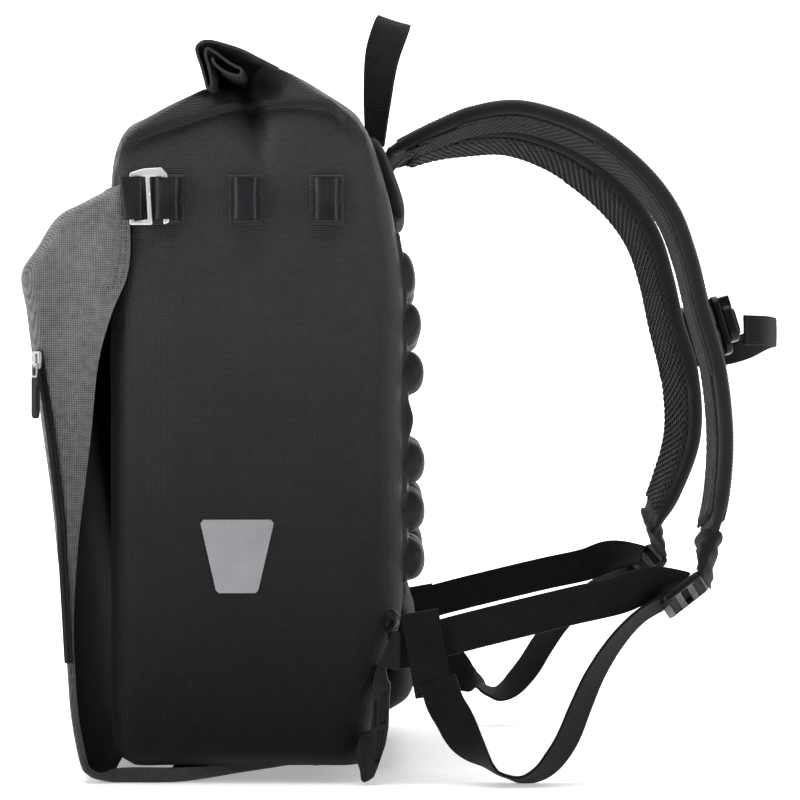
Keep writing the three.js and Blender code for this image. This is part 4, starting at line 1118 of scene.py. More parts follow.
cover_folds = [Fold(*row) for row in (
    (-0.018, 0.392, -0.030, 0.345, 0.0060, 0.0012),
    (-0.030, 0.345, -0.045, 0.290, 0.0120, 0.0010),
    (-0.052, 0.340, -0.060, 0.270, 0.0140, -0.0012),
    (-0.044, 0.250, -0.050, 0.160, 0.0080, 0.0012),
    (-0.060, 0.230, -0.056, 0.120, 0.0080, -0.0008),
    (-0.014, 0.336, -0.040, 0.318, 0.0050, -0.0007),
)]


def make_cover():
    last = len(stations_of_cover) - 1
    steps = last * 9
    grid = np.array([[tuple(p) for p in cover_row(last * i / steps)] for i in range(steps + 1)])
    middle = np.array([-0.03, 0.0, 0.2])
    normals = grid_normals(grid, middle, closed=False)
    for r in range(2, steps - 20):
        for c in range(grid.shape[1]):
            x, y, z = grid[r, c]
            facing = abs(normals[r, c, 1])
            lift = sum(fold_height(fold, x, z) for fold in cover_folds) * facing
            lift += 0.0014 * noise.noise(Vector((x * 22, y * 13 + 5, z * 14)))
            lift += 0.0045 * (1 - facing) * math.cos(math.pi * y / bag_width) * soft_step(r / 30)
            grid[r, c] += normals[r, c] * lift
    mesh = loft("cover_tray", grid, closed=False)
    piece = object_of("cover_tray", dress(mesh, cover_fabric, painted_shade_lining))
    if sum(face.normal.dot(face.center - Vector(middle)) for face in mesh.polygons) < 0:
        mesh.flip_normals()
    # The inner face takes the near-black lining, painted shade for the gap behind the cover.
    thickened(piece, cover_wall, -1, material_offset=1)
    sharpen(piece.data, 60)
    return keep(piece, ["front_cover"])


make_cover()


corner_turn = math.radians(56)
corner_outward = Vector((-math.cos(corner_turn), -math.sin(corner_turn), 0))
corner_across = Vector((math.sin(corner_turn), -math.cos(corner_turn), 0))


def cover_corner_at(place, lift):
    """A place on the cover's near rounded corner, where the zip runs, lifted off it."""
    station = CoverStation(*row_between(stations_of_cover, place))
    depth = math.hypot(station.edge_x - station.front_x, station.edge_z - station.front_z)
    radius = min(cover_corner, depth * 0.75)
    middle = Vector((station.front_x + radius, radius - station.half, station.front_z))
    return middle + corner_outward * (radius + lift)


def cover_wing_at(place, into, lift, side=near):
    """A place on the cover's wing, by the share of the wing from its front to its edge."""
    station = CoverStation(*row_between(stations_of_cover, place))
    x = mix(station.front_x, station.edge_x, into)
    z = mix(station.front_z, station.edge_z, into)
    fold = sum(fold_height(one, x, z) for one in cover_folds)
    return Vector((x, side * (station.half + fold + lift), z))


# The zip on the cover's near corner

zip_first, zip_last = 6.02, 9.7
zip_width = 0.007
zip_thickness = 0.0012


def make_zip():
    outward, wide = corner_outward, corner_across
    rows, teeth = [], []
    for place in even_steps(zip_first, zip_last, 60):
        middle = cover_corner_at(place, 0.0008)
        low, high = -zip_thickness / 2, zip_thickness / 2
        shape = [(-1, low), (-0.25, low), (0.25, low), (1, low), (1, high * 0.4), (0.3, high), (-0.3, high),
                 (-1, high * 0.4)]
        rows.append([middle + wide * (w * zip_width / 2) + outward * n for w, n in shape])
        teeth.append((middle + outward * (high + 0.0002), outward))
    tape = solid_loft("zip_tape_face", rows, 40)
    coil = grown_mesh("zip_coil", path_mesh("zip_coil_path", [teeth]), teeth_tree,
                      Pitch=0.0013, Size=(0.0007, 0.0028, 0.0007), Material=black_plastic)
    keep_one("zip_tape_face", tape, webbing, "zip_tape")
    keep(object_of("zip_coil", coil))
    for sign in (-1, 1):
        stitch([(middle - outward * 0.0006 + wide * sign * (zip_width / 2 - 0.001), outward)
                for middle, _ in teeth])


make_zip()


def zip_matrix(place, lift, drop):
    """Sets a plate flat on the cover's corner: X across the zip, Y up, Z outwards."""
    return frame_matrix(corner_across, up, corner_outward, cover_corner_at(place, lift) - up * drop)


def make_zip_slider():
    body = rounded([(-0.0035, 0.006), (0.0035, 0.006), (0.0039, 0.001), (0.0028, -0.006),
                    (-0.0028, -0.006), (-0.0039, 0.001)], 0.0016)
    bridge = box_outline(-0.0011, -0.0045, 0.0011, 0.0045, 0.0006)
    ring = rounded([(-0.0026, 0.001), (0.0026, 0.001), (0.0023, -0.0085), (-0.0023, -0.0085)], 0.0014)
    ring_hole = rounded([(-0.0015, -0.0002), (0.0015, -0.0002), (0.0013, -0.0072), (-0.0013, -0.0072)],
                        0.0008)
    place = zip_first + 0.15
    meshes = [
        plate("slider_body", body, 0.0024, 0.0007, place=zip_matrix(place, 0.0034, 0)),
        plate("slider_bridge", bridge, 0.0016, 0.0005, place=zip_matrix(place, 0.0052, 0)),
        plate("slider_ring", ring, 0.0011, 0.0004, [ring_hole], zip_matrix(place, 0.0056, 0.003)),
    ]
    mesh = joined("zip_slider_body", meshes)
    keep_one("zip_slider_body", mesh, dull_aluminium, "zip_slider")
    drop = 0.006 + 0.016 + seat_gap
    tab = rounded([(-0.0022, 0.017), (0.0022, 0.017), (0.0032, 0.010), (0.0032, -0.013), (0.0022, -0.016),
                   (-0.0022, -0.016), (-0.0032, -0.013), (-0.0032, 0.010)], 0.0012)
    grip = box_outline(-0.002, -0.012, 0.002, 0.006, 0.001)
    meshes = [
        plate("pull_tab", tab, 0.0021, 0.0007, place=zip_matrix(place, 0.0046, drop)),
        plate("pull_grip", grip, 0.0006, 0.0002, place=zip_matrix(place, 0.0058, drop)),
    ]
    mesh = joined("zip_pull_tab", meshes)
    keep_one("zip_pull_tab", mesh, black_plastic, "zip_pull")


make_zip_slider()


# Loops, patches and hooks on the bag's sides

loop_places = (0.158, 0.423, 0.696)
loop_centre = 0.7785
loop_span = 0.018
loop_height = 0.028
loop_clear = 0.0062
patch_thickness = 0.0008
patch_margin = 0.0022
patch_wall = 0.0006


def make_loop(index, side):
    """An arch of coated webbing, pressed flat at its two sewn feet."""
    x0 = depth_at(loop_places[index])
    middle = height_at(loop_centre)
    foot = half_bag + patch_thickness + 2 * seat_gap
    rows = []
    columns = 30
    for z in even_steps(-1, 1, 24):
        bow = 1 - 0.05 * (1 - abs(z)) ** 1.5
        outer, inner = [], []
        for j in range(columns + 1):
            angle = math.pi * j / columns
            flat = math.copysign(abs(math.cos(angle)) ** 0.8, math.cos(angle))
            lift = max(math.sin(angle), 0.0) ** 0.8
            dimple = 1 - 0.16 * hill(flat + 0.25, 0.2)
            width = loop_span / 2
            height = z * loop_height / 2 * (1 - 0.03 * lift)
            outer.append((x0 + width - flat * width * bow,
                          foot + lift * dimple * (loop_clear + webbing_thickness), middle + height))
            inner.append((x0 + width - flat * (width * bow - webbing_thickness * 0.9),
                          foot + lift * dimple * loop_clear, middle + height))
        rows.append([Vector((x, side * y, z)) for x, y, z in outer + inner[::-1]])
    name = f"side_loop_face_{index + 1}"
    keep_side(side, name, solid_loft(name, rows, 50), black_coat, f"side_loop_{index + 1}")


def make_patch(index, side):
    """The welded patch under a loop, with a soft embossed border that follows the bag's side."""
    x0 = depth_at(loop_places[index]) - patch_margin
    x1 = depth_at(loop_places[index]) + loop_span + patch_margin
    middle = height_at(loop_centre)
    half = loop_height / 2 + patch_margin
    rows = []
    for z in even_steps(-1, 1, 24):
        row = []
        for x in even_steps(-1, 1, 20):
            rim = max(abs(x), abs(z))
            lift = patch_thickness * (1 - soft_step((rim - 0.82) / 0.18)) + 0.00015
            row.append(side_place(mix(x0, x1, (x + 1) / 2), middle + z * half, side, lift))
        rows.append(row)
    name = f"loop_patch_face_{index + 1}_{side_names[side]}"
    mesh = loft(name, rows, closed=False)
    if sum(face.normal.y for face in mesh.polygons) * side < 0:
        mesh.flip_normals()
    piece = object_of(name, dress(mesh, bag_fabric))
    thickened(piece, patch_wall, -1)
    keep(piece, [f"loop_patch_{index + 1}_{side_names[side]}"])
    for edge in (x0 + 0.0014, x1 - 0.0014):
        stitch([(side_place(edge, middle + half * share, side, patch_thickness),
                 Vector((0, side, 0))) for share in even_steps(-0.85, 0.85, 8)])


black_coat = moulded("black_coat", (0.010, 0.010, 0.012), (0.022, 0.022, 0.026), 0.34, 0.00008)
for side in (near, far):
    for index in range(3):
        make_loop(index, side)
        make_patch(index, side)

hook_wire = 0.003
hook_thickness = 0.002
hook_y = half_bag + patch_thickness + 2 * seat_gap + loop_clear - seat_gap - hook_thickness
cover_loop_depth = 0.0135
cover_loop_x = depth_at(loop_places[0]) - 0.0203


def make_cover_loop(side):
    """The cover's loop: webbing that wraps the hook's captive arm."""
    outside = hook_y + hook_thickness + seat_gap + webbing_thickness
    inside = hook_y - seat_gap - webbing_thickness
    middle = height_at(loop_centre)
    centre_x = cover_loop_x + cover_loop_depth / 2
    centre_y = (outside + inside) / 2
    rows = []
    for z in even_steps(-1, 1, 20):
        slant = -0.0016 * z
        ring = []
        for wall in (0.0, webbing_thickness):
            reach_x = cover_loop_depth / 2 - wall
            reach_y = (outside - inside) / 2 - wall
            part = []
            for j in range(32):
                x, y = squared_round(2 * math.pi * j / 32, 0.7, 0.7)
                part.append(Vector((centre_x + x * reach_x + slant * (x < 0),
                                    side * (centre_y + y * reach_y), middle + z * loop_height / 2)))
            ring.append(part)
        rows.append(ring)
    outer, inner = zip(*rows)
    tube = [*outer, *inner[::-1], outer[0]]
    mesh = loft("cover_loop_face", tube, cap_start=False, cap_end=False)
    face_outwards(mesh, weld=True)
    sharpen(mesh, 50)
    keep_side(side, "cover_loop_face", mesh, black_coat, "cover_loop")


def make_hook(side):
    """The hook of bent wire: a closed end in the cover's loop and an open arm in the bag's first loop."""
    middle = height_at(loop_centre)
    low = middle - loop_height / 2 - seat_gap - hook_wire
    high = middle + loop_height / 2 + seat_gap
    captive = cover_loop_x + cover_loop_depth / 2 - hook_wire / 2
    stem = cover_loop_x + cover_loop_depth + 0.0013
    end = depth_at(loop_places[0]) + loop_span * 0.36
    crown = high + hook_wire * 2
    lean = hook_wire * 0.8
    outline = [
        (captive, low), (stem + lean + hook_wire, low), (stem + hook_wire * 1.15, high), (end, high),
        (end + hook_wire * 0.2, low), (end + hook_wire * 1.5, low + hook_wire * 0.6),
        (end + hook_wire, high + hook_wire * 0.3),
        (end + hook_wire, crown - hook_wire * 1.5), (end - hook_wire * 0.2, crown),
        (stem - hook_wire * 0.2, crown - hook_wire * 0.25),
        (captive, crown - hook_wire * 1.2),
    ]
    hole = [(captive + hook_wire, low + hook_wire * 0.9), (stem + lean, low + hook_wire * 1.2),
            (stem + hook_wire * 0.25, high), (captive + hook_wire, high)]
    place = side_plane(-(hook_y + hook_thickness / 2))
    mesh = plate("hook", rounded(outline, 0.0014), hook_thickness, 0.0007, [rounded(hole, 0.001)], place)
    keep_side(side, "cover_hook_wire", mesh, aluminium, "cover_hook", mirror=True)


def make_reflector(side):
    """The reflective patch: a plain keystone with cut corners that follows the bag's side."""
    centre_x = depth_at(reflector_place[0])
    centre_z = height_at(reflector_place[1])
    half = reflector_size / 2
    outline = [(0.92, 1), (1, 0.9), (0.58, -0.92), (0.5, -1), (-0.5, -1), (-0.58, -0.92), (-1, 0.9),
               (-0.92, 1)]
    outline = [(centre_x + x * half, centre_z + z * half) for x, z in outline]
    mesh = plate("reflector", outline, 0.0007, 0.0002, place=side_plane(0.0))
    for vertex in mesh.vertices:
        x, y, z = vertex.co
        vertex.co = side_place(x, z, near, 0.0003 - y)
    keep_side(side, "reflector_film", mesh, film, "reflector", mirror=True)


for side in (near, far):
    make_cover_loop(side)
    make_hook(side)
    make_reflector(side)


# The back: domed panel, yoke, lumbar pad

def back_wall_at(z):
    """The bag's back wall at a height, between its levels."""
    rows = [(height_at(level.back_height), depth_at(level.back_depth)) for level in bag_levels]
    for (z0, x0), (z1, x1) in zip(rows, rows[1:]):
        if z <= z1:
            return mix(x0, x1, (z - z0) / (z1 - z0))
    return rows[-1][1]


panel_low, panel_high = height_at(0.245), height_at(0.744)
yoke_low, yoke_high = height_at(0.757), height_at(0.886)
lumbar_low, lumbar_high = height_at(0.056), height_at(0.236)
panel_half = 0.126
panel_thickness = 0.003
dome_proud = 0.012
dome_radius = 0.014
dome_rows = ((0.074, 1.0), (0.209, 1.0), (0.344, 1.0), (0.596, 0.95), (0.731, 0.8), (0.874, 0.55))
dome_columns = (0.86, 0.5)
yoke_half = 0.075
yoke_thickness = 0.007
lumbar_half = 0.110
lumbar_thickness = 0.012


def pad_on_back(name, low, high, half, lift_at, rows, columns, corner):
    """A closed pad on the bag's back: lift_at gives its height off the wall from its two shares."""
    middle_z, tall = (low + high) / 2, (high - low) / 2
    rings = []
    for i in range(rows + 1):
        z_share = i / rows
        ring = []
        for j in range(columns + 1):
            y_share = mix(-1, 1, j / columns)
            y, z = y_share * half, mix(low, high, z_share)
            past_y = max(0.0, abs(y) - (half - corner))
            past_z = max(0.0, abs(z - middle_z) - (tall - corner))
            past = math.hypot(past_y, past_z)
            if past > corner:
                y = math.copysign(half - corner + past_y * corner / past, y)
                z = middle_z + math.copysign(tall - corner + past_z * corner / past, z - middle_z)
            ring.append(Vector((back_wall_at(z) + lift_at(y_share, z_share), y, z)))
        for j in range(12, -1, -1):
            front = ring[round(j / 12 * columns)]
            ring.append(Vector((back_wall_at(front.z) - 0.0015, front.y, front.z)))
        rings.append(ring)
    return solid_loft(name, rings)


def make_back_panel():
    height = panel_high - panel_low

    def lift_at(y_share, z_share):
        rim = max(abs(y_share) * panel_half - (panel_half - 0.005),
                  abs(z_share - 0.5) * height - (height / 2 - 0.005))
        lift = panel_thickness * (1 - 1.3 * soft_step(rim / 0.005))
        for row, proud in dome_rows:
            for column in dome_columns:
                dy = (abs(y_share) - column) * panel_half / (dome_radius * 1.15)
                dz = (z_share - row) * height / dome_radius
                reach = math.hypot(dy, dz)
                if reach < 1.5:
                    cap = math.sqrt(max(0.0, 1 - (reach / 1.06) ** 2.3)) if reach < 1.06 else 0.0
                    lift += dome_proud * proud * max(cap, 0.13 * (1 - soft_step((reach - 0.8) / 0.6)))
        groove = hill(abs(y_share) * panel_half - 0.040, 0.0016)
        between = 0.0042 * hill((z_share - 0.464) * height, 0.012) * soft_step((abs(y_share) - 0.36) / 0.12)
        return lift - 0.0009 * groove + between * soft_step(lift / panel_thickness)

    mesh = pad_on_back("back_domes", panel_low, panel_high, panel_half, lift_at, 280, 250, 0.012)
    mesh.shade_smooth()
    keep_one("back_domes", mesh, foam_skin, "back_panel")
    wall = panel_half - 0.0062
    for sign in (-1, 1):
        stitch([(Vector((back_wall_at(z) + panel_thickness, sign * wall, z)), Vector((1, 0, 0)))
                for z in even_steps(panel_low + 0.012, panel_high - 0.012, 30)])


make_back_panel()


def puffed(piece, voxel, pressure, cap, frames=20):
    """Swells a closed pad as cloth under air pressure, with no point moved further than the cap."""
    start_mesh = piece.data
    grow = piece.modifiers.new("skin", "REMESH")
    grow.mode = "VOXEL"
    grow.voxel_size = voxel
    bake_modifiers(piece)
    before = np.array([tuple(v.co) for v in piece.data.vertices])
    cloth = piece.modifiers.new("air", "CLOTH")
    cloth.settings.use_pressure = True
    cloth.settings.uniform_pressure_force = pressure
    cloth.settings.effector_weights.gravity = 0
    cloth.settings.quality = 5
    cloth.settings.mass = 0.3
    cloth.settings.tension_stiffness = 25
    cloth.settings.compression_stiffness = 25
    cloth.settings.bending_stiffness = 0.6
    cloth.point_cache.frame_start = 1
    cloth.point_cache.frame_end = frames
    for frame_number in range(1, frames + 1):
        scene.frame_set(frame_number)
    swollen = finished_mesh(piece)
    after = np.array([tuple(v.co) for v in swollen.vertices])
    piece.modifiers.clear()
    scene.frame_set(1)
    move = after - before
    length = np.linalg.norm(move, axis=1, keepdims=True)
    move *= np.minimum(1, cap / np.maximum(length, 1e-9))
    swollen.vertices.foreach_set("co", (before + move).ravel())
    swollen.update()
    piece.data = swollen
    for material in start_mesh.materials:
        if material.name not in [m.name for m in swollen.materials if m]:
            swollen.materials.append(material)
    smooth = piece.modifiers.new("smooth", "SUBSURF")
    smooth.levels = 1
    smooth.render_levels = 1
    bake_modifiers(piece)
    piece.data.shade_smooth()
    layer = piece.data.uv_layers.new(name="weave")
    for loop in piece.data.loops:
        place = piece.data.vertices[loop.vertex_index].co
        layer.data[loop.index].uv = (place.y, place.z)
    return piece


def make_yoke():
    def lift_at(y_share, z_share):
        rim = max(abs(y_share), abs(2 * z_share - 1))
        crown = (1 - rim ** 4) ** 0.5 if rim < 1 else 0.0
        return 0.0012 + yoke_thickness * crown * (1 + 0.3 * (1 - z_share) ** 2)

    mesh = pad_on_back("yoke_pad", yoke_low, yoke_high, yoke_half, lift_at, 40, 70, 0.014)
    piece = puffed(object_of("yoke_pad", dress(mesh, pad_fabric)), 0.0035, 3.0, 0.002)
    keep(piece, ["strap_yoke"])
    for sign in (-1, 1):
        stitch([(Vector((back_wall_at(z) + yoke_thickness * 0.95, sign * (yoke_half - 0.006), z)),
                 Vector((1, 0, 0)))
                for z in even_steps(yoke_low + 0.012, yoke_high - 0.012, 12)])


make_yoke()


def make_lumbar():
    upright = back_wall + 0.0062

    def lift_at(y_share, z_share):
        z = mix(lumbar_low, lumbar_high, z_share)
        body = soft_step(z_share / 0.17) ** 0.5 * (1 - 0.75 * soft_step((z_share - 0.7) / 0.3))
        ends = max(1 - abs(y_share) ** 6, 0.0) ** 0.5
        reach = min(upright - back_wall_at(z), lumbar_thickness * 1.75)
        ridges = 0.0007 * math.sin(2 * math.pi * (z - lumbar_low) / 0.009)
        return 0.001 + (reach + ridges) * body * ends

    mesh = pad_on_back("lumbar_cushion", lumbar_low, lumbar_high, lumbar_half, lift_at, 56, 90, 0.016)
    piece = puffed(object_of("lumbar_cushion", dress(mesh, pad_fabric)), 0.004, 3.0, 0.002)
    keep(piece, ["lumbar_pad"])


make_lumbar()


# The haul loop, which turns as it rises

haul_rows = (
    (0.0, 0.0, -0.75, 0.55), (0.02, 0.35, -0.82, 0.78), (0.06, 0.7, -0.72, 0.95), (0.135, 0.93, -0.42, 1.0),
    (0.155, 0.975, 0.0, 1.0), (0.135, 0.93, 0.42, 1.0), (0.06, 0.7, 0.72, 0.95), (0.02, 0.35, 0.82, 0.78),
    (0.0, 0.0, 0.75, 0.55),
)


def make_haul_loop():
    base_x = back_wall_at(yoke_high) + yoke_thickness
    base_z = yoke_high + seat_gap + 0.0004
    course = smooth_course([(base_x + depth * haul_height, side * webbing_width,
                             base_z + height * haul_height)
                            for depth, height, side, _ in haul_rows])
    widths = smooth_course([(width, 0, 0) for _, _, _, width in haul_rows])
    lean = Vector((0.95, 0, -0.3)).normalized()
    band = []
    for i in range(97):
        share = i / 96
        tangent = direction_at(course, share)
        side = (lean - tangent * tangent.dot(lean)).normalized()
        band.append(Station(course(share), tangent, side, widths(share).x * webbing_width))
    mesh = rounded_band("haul_webbing_loop", band, webbing_thickness, camber=0.0005)
    keep_one("haul_webbing_loop", mesh, haul_webbing, "haul_loop")


make_haul_loop()


# The shoulder straps

StrapRow = namedtuple("StrapRow", "reach height side width near far")
strap_course = [StrapRow(*row) for row in (
    (-0.024, 0.943, 0.28, 0.46, -5, -3),
    (0.028, 0.955, 0.3, 0.56, -5, -4),
    (0.112, 0.972, 0.33, 0.74, -5, -6),
    (0.228, 0.991, 0.36, 0.88, -5, -7),
    (0.367, 0.997, 0.4, 0.94, -5, -7),
    (0.526, 0.975, 0.455, 0.97, -4, -9),
    (0.66, 0.937, 0.515, 1.0, -3, -11),
    (0.777, 0.886, 0.565, 1.0, -1, -11),
    (0.851, 0.833, 0.6, 1.0, 0, -10),
    (0.898, 0.769, 0.633, 1.0, 1, -9.5),
    (0.935, 0.693, 0.653, 1.0, 1.5, -10),
    (0.981, 0.611, 0.673, 1.0, 1, -12),
    (1.0, 0.507, 0.72, 0.97, 0.5, -12),
    (0.981, 0.416, 0.787, 0.9, 1, -10),
    (0.944, 0.351, 0.84, 0.74, 2, -8),
)]
strap_lift = {near: 0.0022, far: -0.0016}
far_set_back = 0.006
far_low_set_back = 0.007
far_root_lift = 0.006


def strap_stations(side):
    stations = []
    for row in strap_course:
        lift = strap_lift[side] * soft_step((row.height - 0.5) / 0.2)
        back = 0.0
        if side == far:
            back = far_set_back * soft_step((0.54 - row.height) / 0.14)
            back += far_low_set_back * soft_step((0.45 - row.height) / 0.1)
            lift += far_root_lift * soft_step((0.3 - row.reach) / 0.25)
        place = Vector((back_wall + row.reach * strap_reach - back, side * row.side * half_bag,
                        row.height * strap_height + lift))
        stations.append((place, row.width * strap_width, row.near if side == near else row.far))
    return stations


strap_bands = {side: band_along(strap_stations(side), 216) for side in (near, far)}


def band_rings(band, shape):
    """Rings round a band from a shape: pairs of the share of its half width and the lift in metres."""
    return [[station.point(w * station.width / 2, n) for w, n in shape] for station in band]


def make_strap(side):
    """The padded band: crowned on its outer face, pinched to a bound edge on both sides."""
    half = strap_pad / 2
    shape = []
    for w in even_steps(-1, 1, 24):
        shape.append((w, -half * (0.42 + 0.58 * (1 - abs(w) ** 5))))
    for w in even_steps(1, -1, 24):
        welt = 0.12 * hill(abs(w) - 0.42, 0.05)
        shape.append((w, half * (0.42 + 0.58 * (1 - abs(w) ** 4) - welt)))
    band = strap_bands[side]
    rings = []
    root_place = band[0].place + Vector((-0.009, 0, -0.013))
    for k in range(8):
        share = k / 8
        fold = 0.55 + 0.45 * soft_step(share)
        shift = (root_place - band[0].place) * (1 - soft_step(share))
        rings.append([band[0].point(w * band[0].width / 2 * fold, n * (0.7 + 0.3 * share)) + shift
                      for w, n in shape])
    for i, station in enumerate(band):
        thick = mix(0.75, 1.0, soft_step(i / 20))
        ring = []
        for w, n in shape:
            point = station.point(w * station.width / 2, n * thick)
            ring.append(point + station.normal * 0.0005 * noise.noise(point * 45))
        rings.append(ring)
    mesh = solid_loft("shoulder_pad", rings)
    mesh.shade_smooth()
    keep_side(side, "shoulder_pad", mesh, pad_fabric, "shoulder_strap")


def make_strap_binding(side):
    """Folded edge tape along both edges of a strap, round its rim."""
    meshes = []
    band = strap_bands[side][1:-1]
    for edge in (-1, 1):
        shape = []
        for i in range(17):
            angle = math.pi * i / 16
            shape.append((math.sin(angle) ** 0.8, -math.cos(angle)))
        for i in range(17):
            angle = math.pi * (1 - i / 16)
            shape.append((math.sin(angle) ** 0.8 - 0.12, -math.cos(angle) * 0.8))
        rings = []
        for k, station in enumerate(band):
            ease = min(1.0, 0.7 + k / 50, 0.5 + (len(band) - k) / 24)
            ring = []
            for out, high in shape:
                w = edge * (station.width / 2 - 0.0075 + out * 0.0085)
                ring.append(station.point(w, (high * (strap_pad * 0.5 + 0.0004) - 0.0006) * ease))
            rings.append(ring)
        meshes.append(solid_loft("binding", rings))
        for face in (-1, 1):
            stitch([(s.point(edge * (s.width / 2 - 0.0062), face * strap_pad * 0.5), s.normal * face)
                    for s in band[4:-4]])
    keep_side(side, "strap_binding", joined("strap_binding", meshes), binding_tape)


def make_strap_mesh(side):
    """The air mesh on a strap's inner face: a ground fabric and a net of yarn loops that stand off it."""
    band = strap_bands[side][12:-7]
    lift = -(strap_pad / 2 + 0.0006)
    half_share = 0.84
    shape = [(w * half_share, lift - 0.0016 * (1 - abs(w) ** 6))
             for w in even_steps(-1, 1, 12)]
    shape += [(w * half_share, lift) for w in even_steps(1, -1, 12)]
    ground = solid_loft("strap_mesh_ground", band_rings(band, shape))
    ground.shade_smooth()
    keep_side(side, "strap_mesh_ground", ground, mesh_ground, "strap_mesh")

    row_pitch, cell = 0.0027, 0.0092
    stations, travelled = [], 0.0
    fine = band_along(strap_stations(side), 1400)
    for before, station in zip(fine[85:1350], fine[86:1351]):
        travelled += (station.place - before.place).length
        if travelled >= row_pitch:
            travelled -= row_pitch
            stations.append(station)
    points, faces, outward, lengthways, stretch = [], [], [], [], []
    for k, station in enumerate(stations):
        half = station.width * half_share / 2
        columns = int(half / cell) + 1
        for c in range(-columns, columns + 1):
            w = (c + (k % 2) * 0.5) * cell
            share = abs(w) / half
            if share > 0.97:
                continue
            centre = station.point(w, lift - 0.0017 * (1 - share ** 6) - 0.0006)
            start = len(points)
            for a, b in ((-1, -1), (1, -1), (1, 1), (-1, 1)):
                points.append(centre + station.tangent * a * 0.0004 + station.side * b * 0.0004)
            faces.append((start, start + 1, start + 2, start + 3))
            outward.append(tuple(-station.normal))
            lengthways.append(tuple(station.side))
            coarse = soft_step((share - 0.4) / 0.4)
            stretch.append((1.0, 1.0, mix(0.7, 1.2, coarse)))
    mesh = bpy.data.meshes.new("net")
    mesh.from_pydata([tuple(p) for p in points], [], faces)
    for label, values in (("outward", outward), ("lengthways", lengthways), ("stretch", stretch)):
        layer = mesh.attributes.new(label, "FLOAT_VECTOR", "FACE")
        layer.data.foreach_set("vector", np.array(values, dtype=float).ravel())
    name = f"strap_mesh_loops_{side_names[side]}"
    net = grown_mesh(name, mesh, net_tree, Loop=0.0026, Yarn=0.00072, Material=mesh_yarn)
    keep(object_of(name, net))


def make_strap_rail(side):
    """The webbing sewn down the middle of a strap's outer face."""
    shift = strap_pad / 2 + strap_rail / 2 - 0.0001
    share = webbing_width / strap_width
    band = strap_bands[side][7:-8]
    mesh = rounded_band("strap_rail_webbing", band, strap_rail, shift=shift, width_share=share)
    keep_side(side, "strap_rail_webbing", mesh, webbing, "strap_rail")
    for edge in (-1, 1):
        stitch([(s.point(edge * (s.width * webbing_width / strap_width / 2 - 0.0022),
                         shift + strap_rail / 2),
                 s.normal) for s in band[3:-3]])


lock_turn = math.radians(38)
lock_facing = 0.45
lock_place = (0.868, 0.933, 0.278)


def lock_frame(side):
    """The ladder lock's centre, its length and width directions, and the way into the pack."""
    reach, aside, height = lock_place
    centre = Vector((back_wall + reach * strap_reach, side * aside * half_bag, height * strap_height))
    lengthways = Vector((math.cos(lock_turn), 0, math.sin(lock_turn)))
    rising = Vector((-math.sin(lock_turn), 0, math.cos(lock_turn)))
    sideways = rising * (side * lock_facing) + across * math.sqrt(1 - lock_facing ** 2)
    return centre, lengthways, sideways, lengthways.cross(sideways)


def make_strap_end(side):
    """The gathered end of a strap, folded round the lock's upper bar."""
    last = strap_bands[side][-1]
    centre, lengthways, sideways, inward = lock_frame(side)
    start = last.place - last.tangent * 0.004
    tip = centre + lengthways * (lock_length / 2 - 0.0015)
    rings = []
    for i in range(25):
        share = i / 24
        wide = last.side.lerp(sideways, soft_step(share)).normalized()
        thick = (-last.normal).lerp(inward, soft_step(share)).normalized()
        half = mix(last.width * 0.5, webbing_width * 0.58, soft_step(share) ** 2.2)
        deep = strap_pad * mix(0.85, 0.6, share) * (1 + 0.12 * math.sin(share * 20))
        place = start.lerp(tip, share)
        ring = []
        for j in range(32):
            angle = 2 * math.pi * j / 32
            gather = 1 + 0.1 * math.sin(angle * 6) * share
            w, n = squared_round(angle, 0.7, 0.7)
            ring.append(place + wide * w * half + thick * n * deep * gather)
        rings.append(ring)
    mesh = solid_loft("strap_end_gather", rings, 60)
    keep_side(side, "strap_end_gather", mesh, pad_fabric, "strap_end")


def make_lock(side):
    """The ladder lock: a rounded frame, its three bars and a lifted thumb edge."""
    centre, lengthways, sideways, inward = lock_frame(near)
    place = frame_matrix(lengthways, sideways, inward, centre)
    half_length, half_width = lock_length / 2, lock_width / 2
    cut, rim, bar = 0.004, 0.0026, 0.005
    outline = cut_box(half_length, half_width, half_length - cut, half_width - cut, 0.002)
    slot = (lock_length - 4 * bar) / 3
    starts = [-half_length + bar + i * (slot + bar) for i in range(3)]
    holes = [box_outline(start, rim - half_width, start + slot, half_width - rim, 0.001)
             for start in starts]
    meshes = [plate("lock_frame", outline, lock_thickness, 0.0011, holes, place)]
    lip = rounded([(-half_length - 0.001, -half_width * 0.7), (-half_length + 0.004, -half_width * 0.85),
                   (-half_length + 0.004, half_width * 0.85),
                   (-half_length - 0.001, half_width * 0.7)], 0.0015)
    meshes.append(plate("lock_lip", lip, 0.0022, 0.0008,
                        place=place @ Matrix.Translation((0, 0, -lock_thickness / 2))))
    mesh = joined("ladder_lock_body", meshes)
    keep_side(side, "ladder_lock_body", mesh, black_plastic, "ladder_lock", mirror=True)
    centre, lengthways, sideways, inward = lock_frame(side)
    threaded = []
    for share in even_steps(-0.52, 0.5, 60):
        wave = -0.002 * math.sin(2 * math.pi * 1.5 * (share + 0.5))
        spot = centre + lengthways * share * lock_length + inward * wave
        threaded.append(Station(spot, lengthways, sideways, lock_width * 0.86))
    keep_side(side, "lock_webbing", rounded_band("lock_webbing", threaded, 0.0016), webbing)


for side in (near, far):
    make_strap(side)
    make_strap_binding(side)
    make_strap_mesh(side)
    make_strap_rail(side)
    make_strap_end(side)
    make_lock(side)


# The lower webbing, its keeper and its hanging end

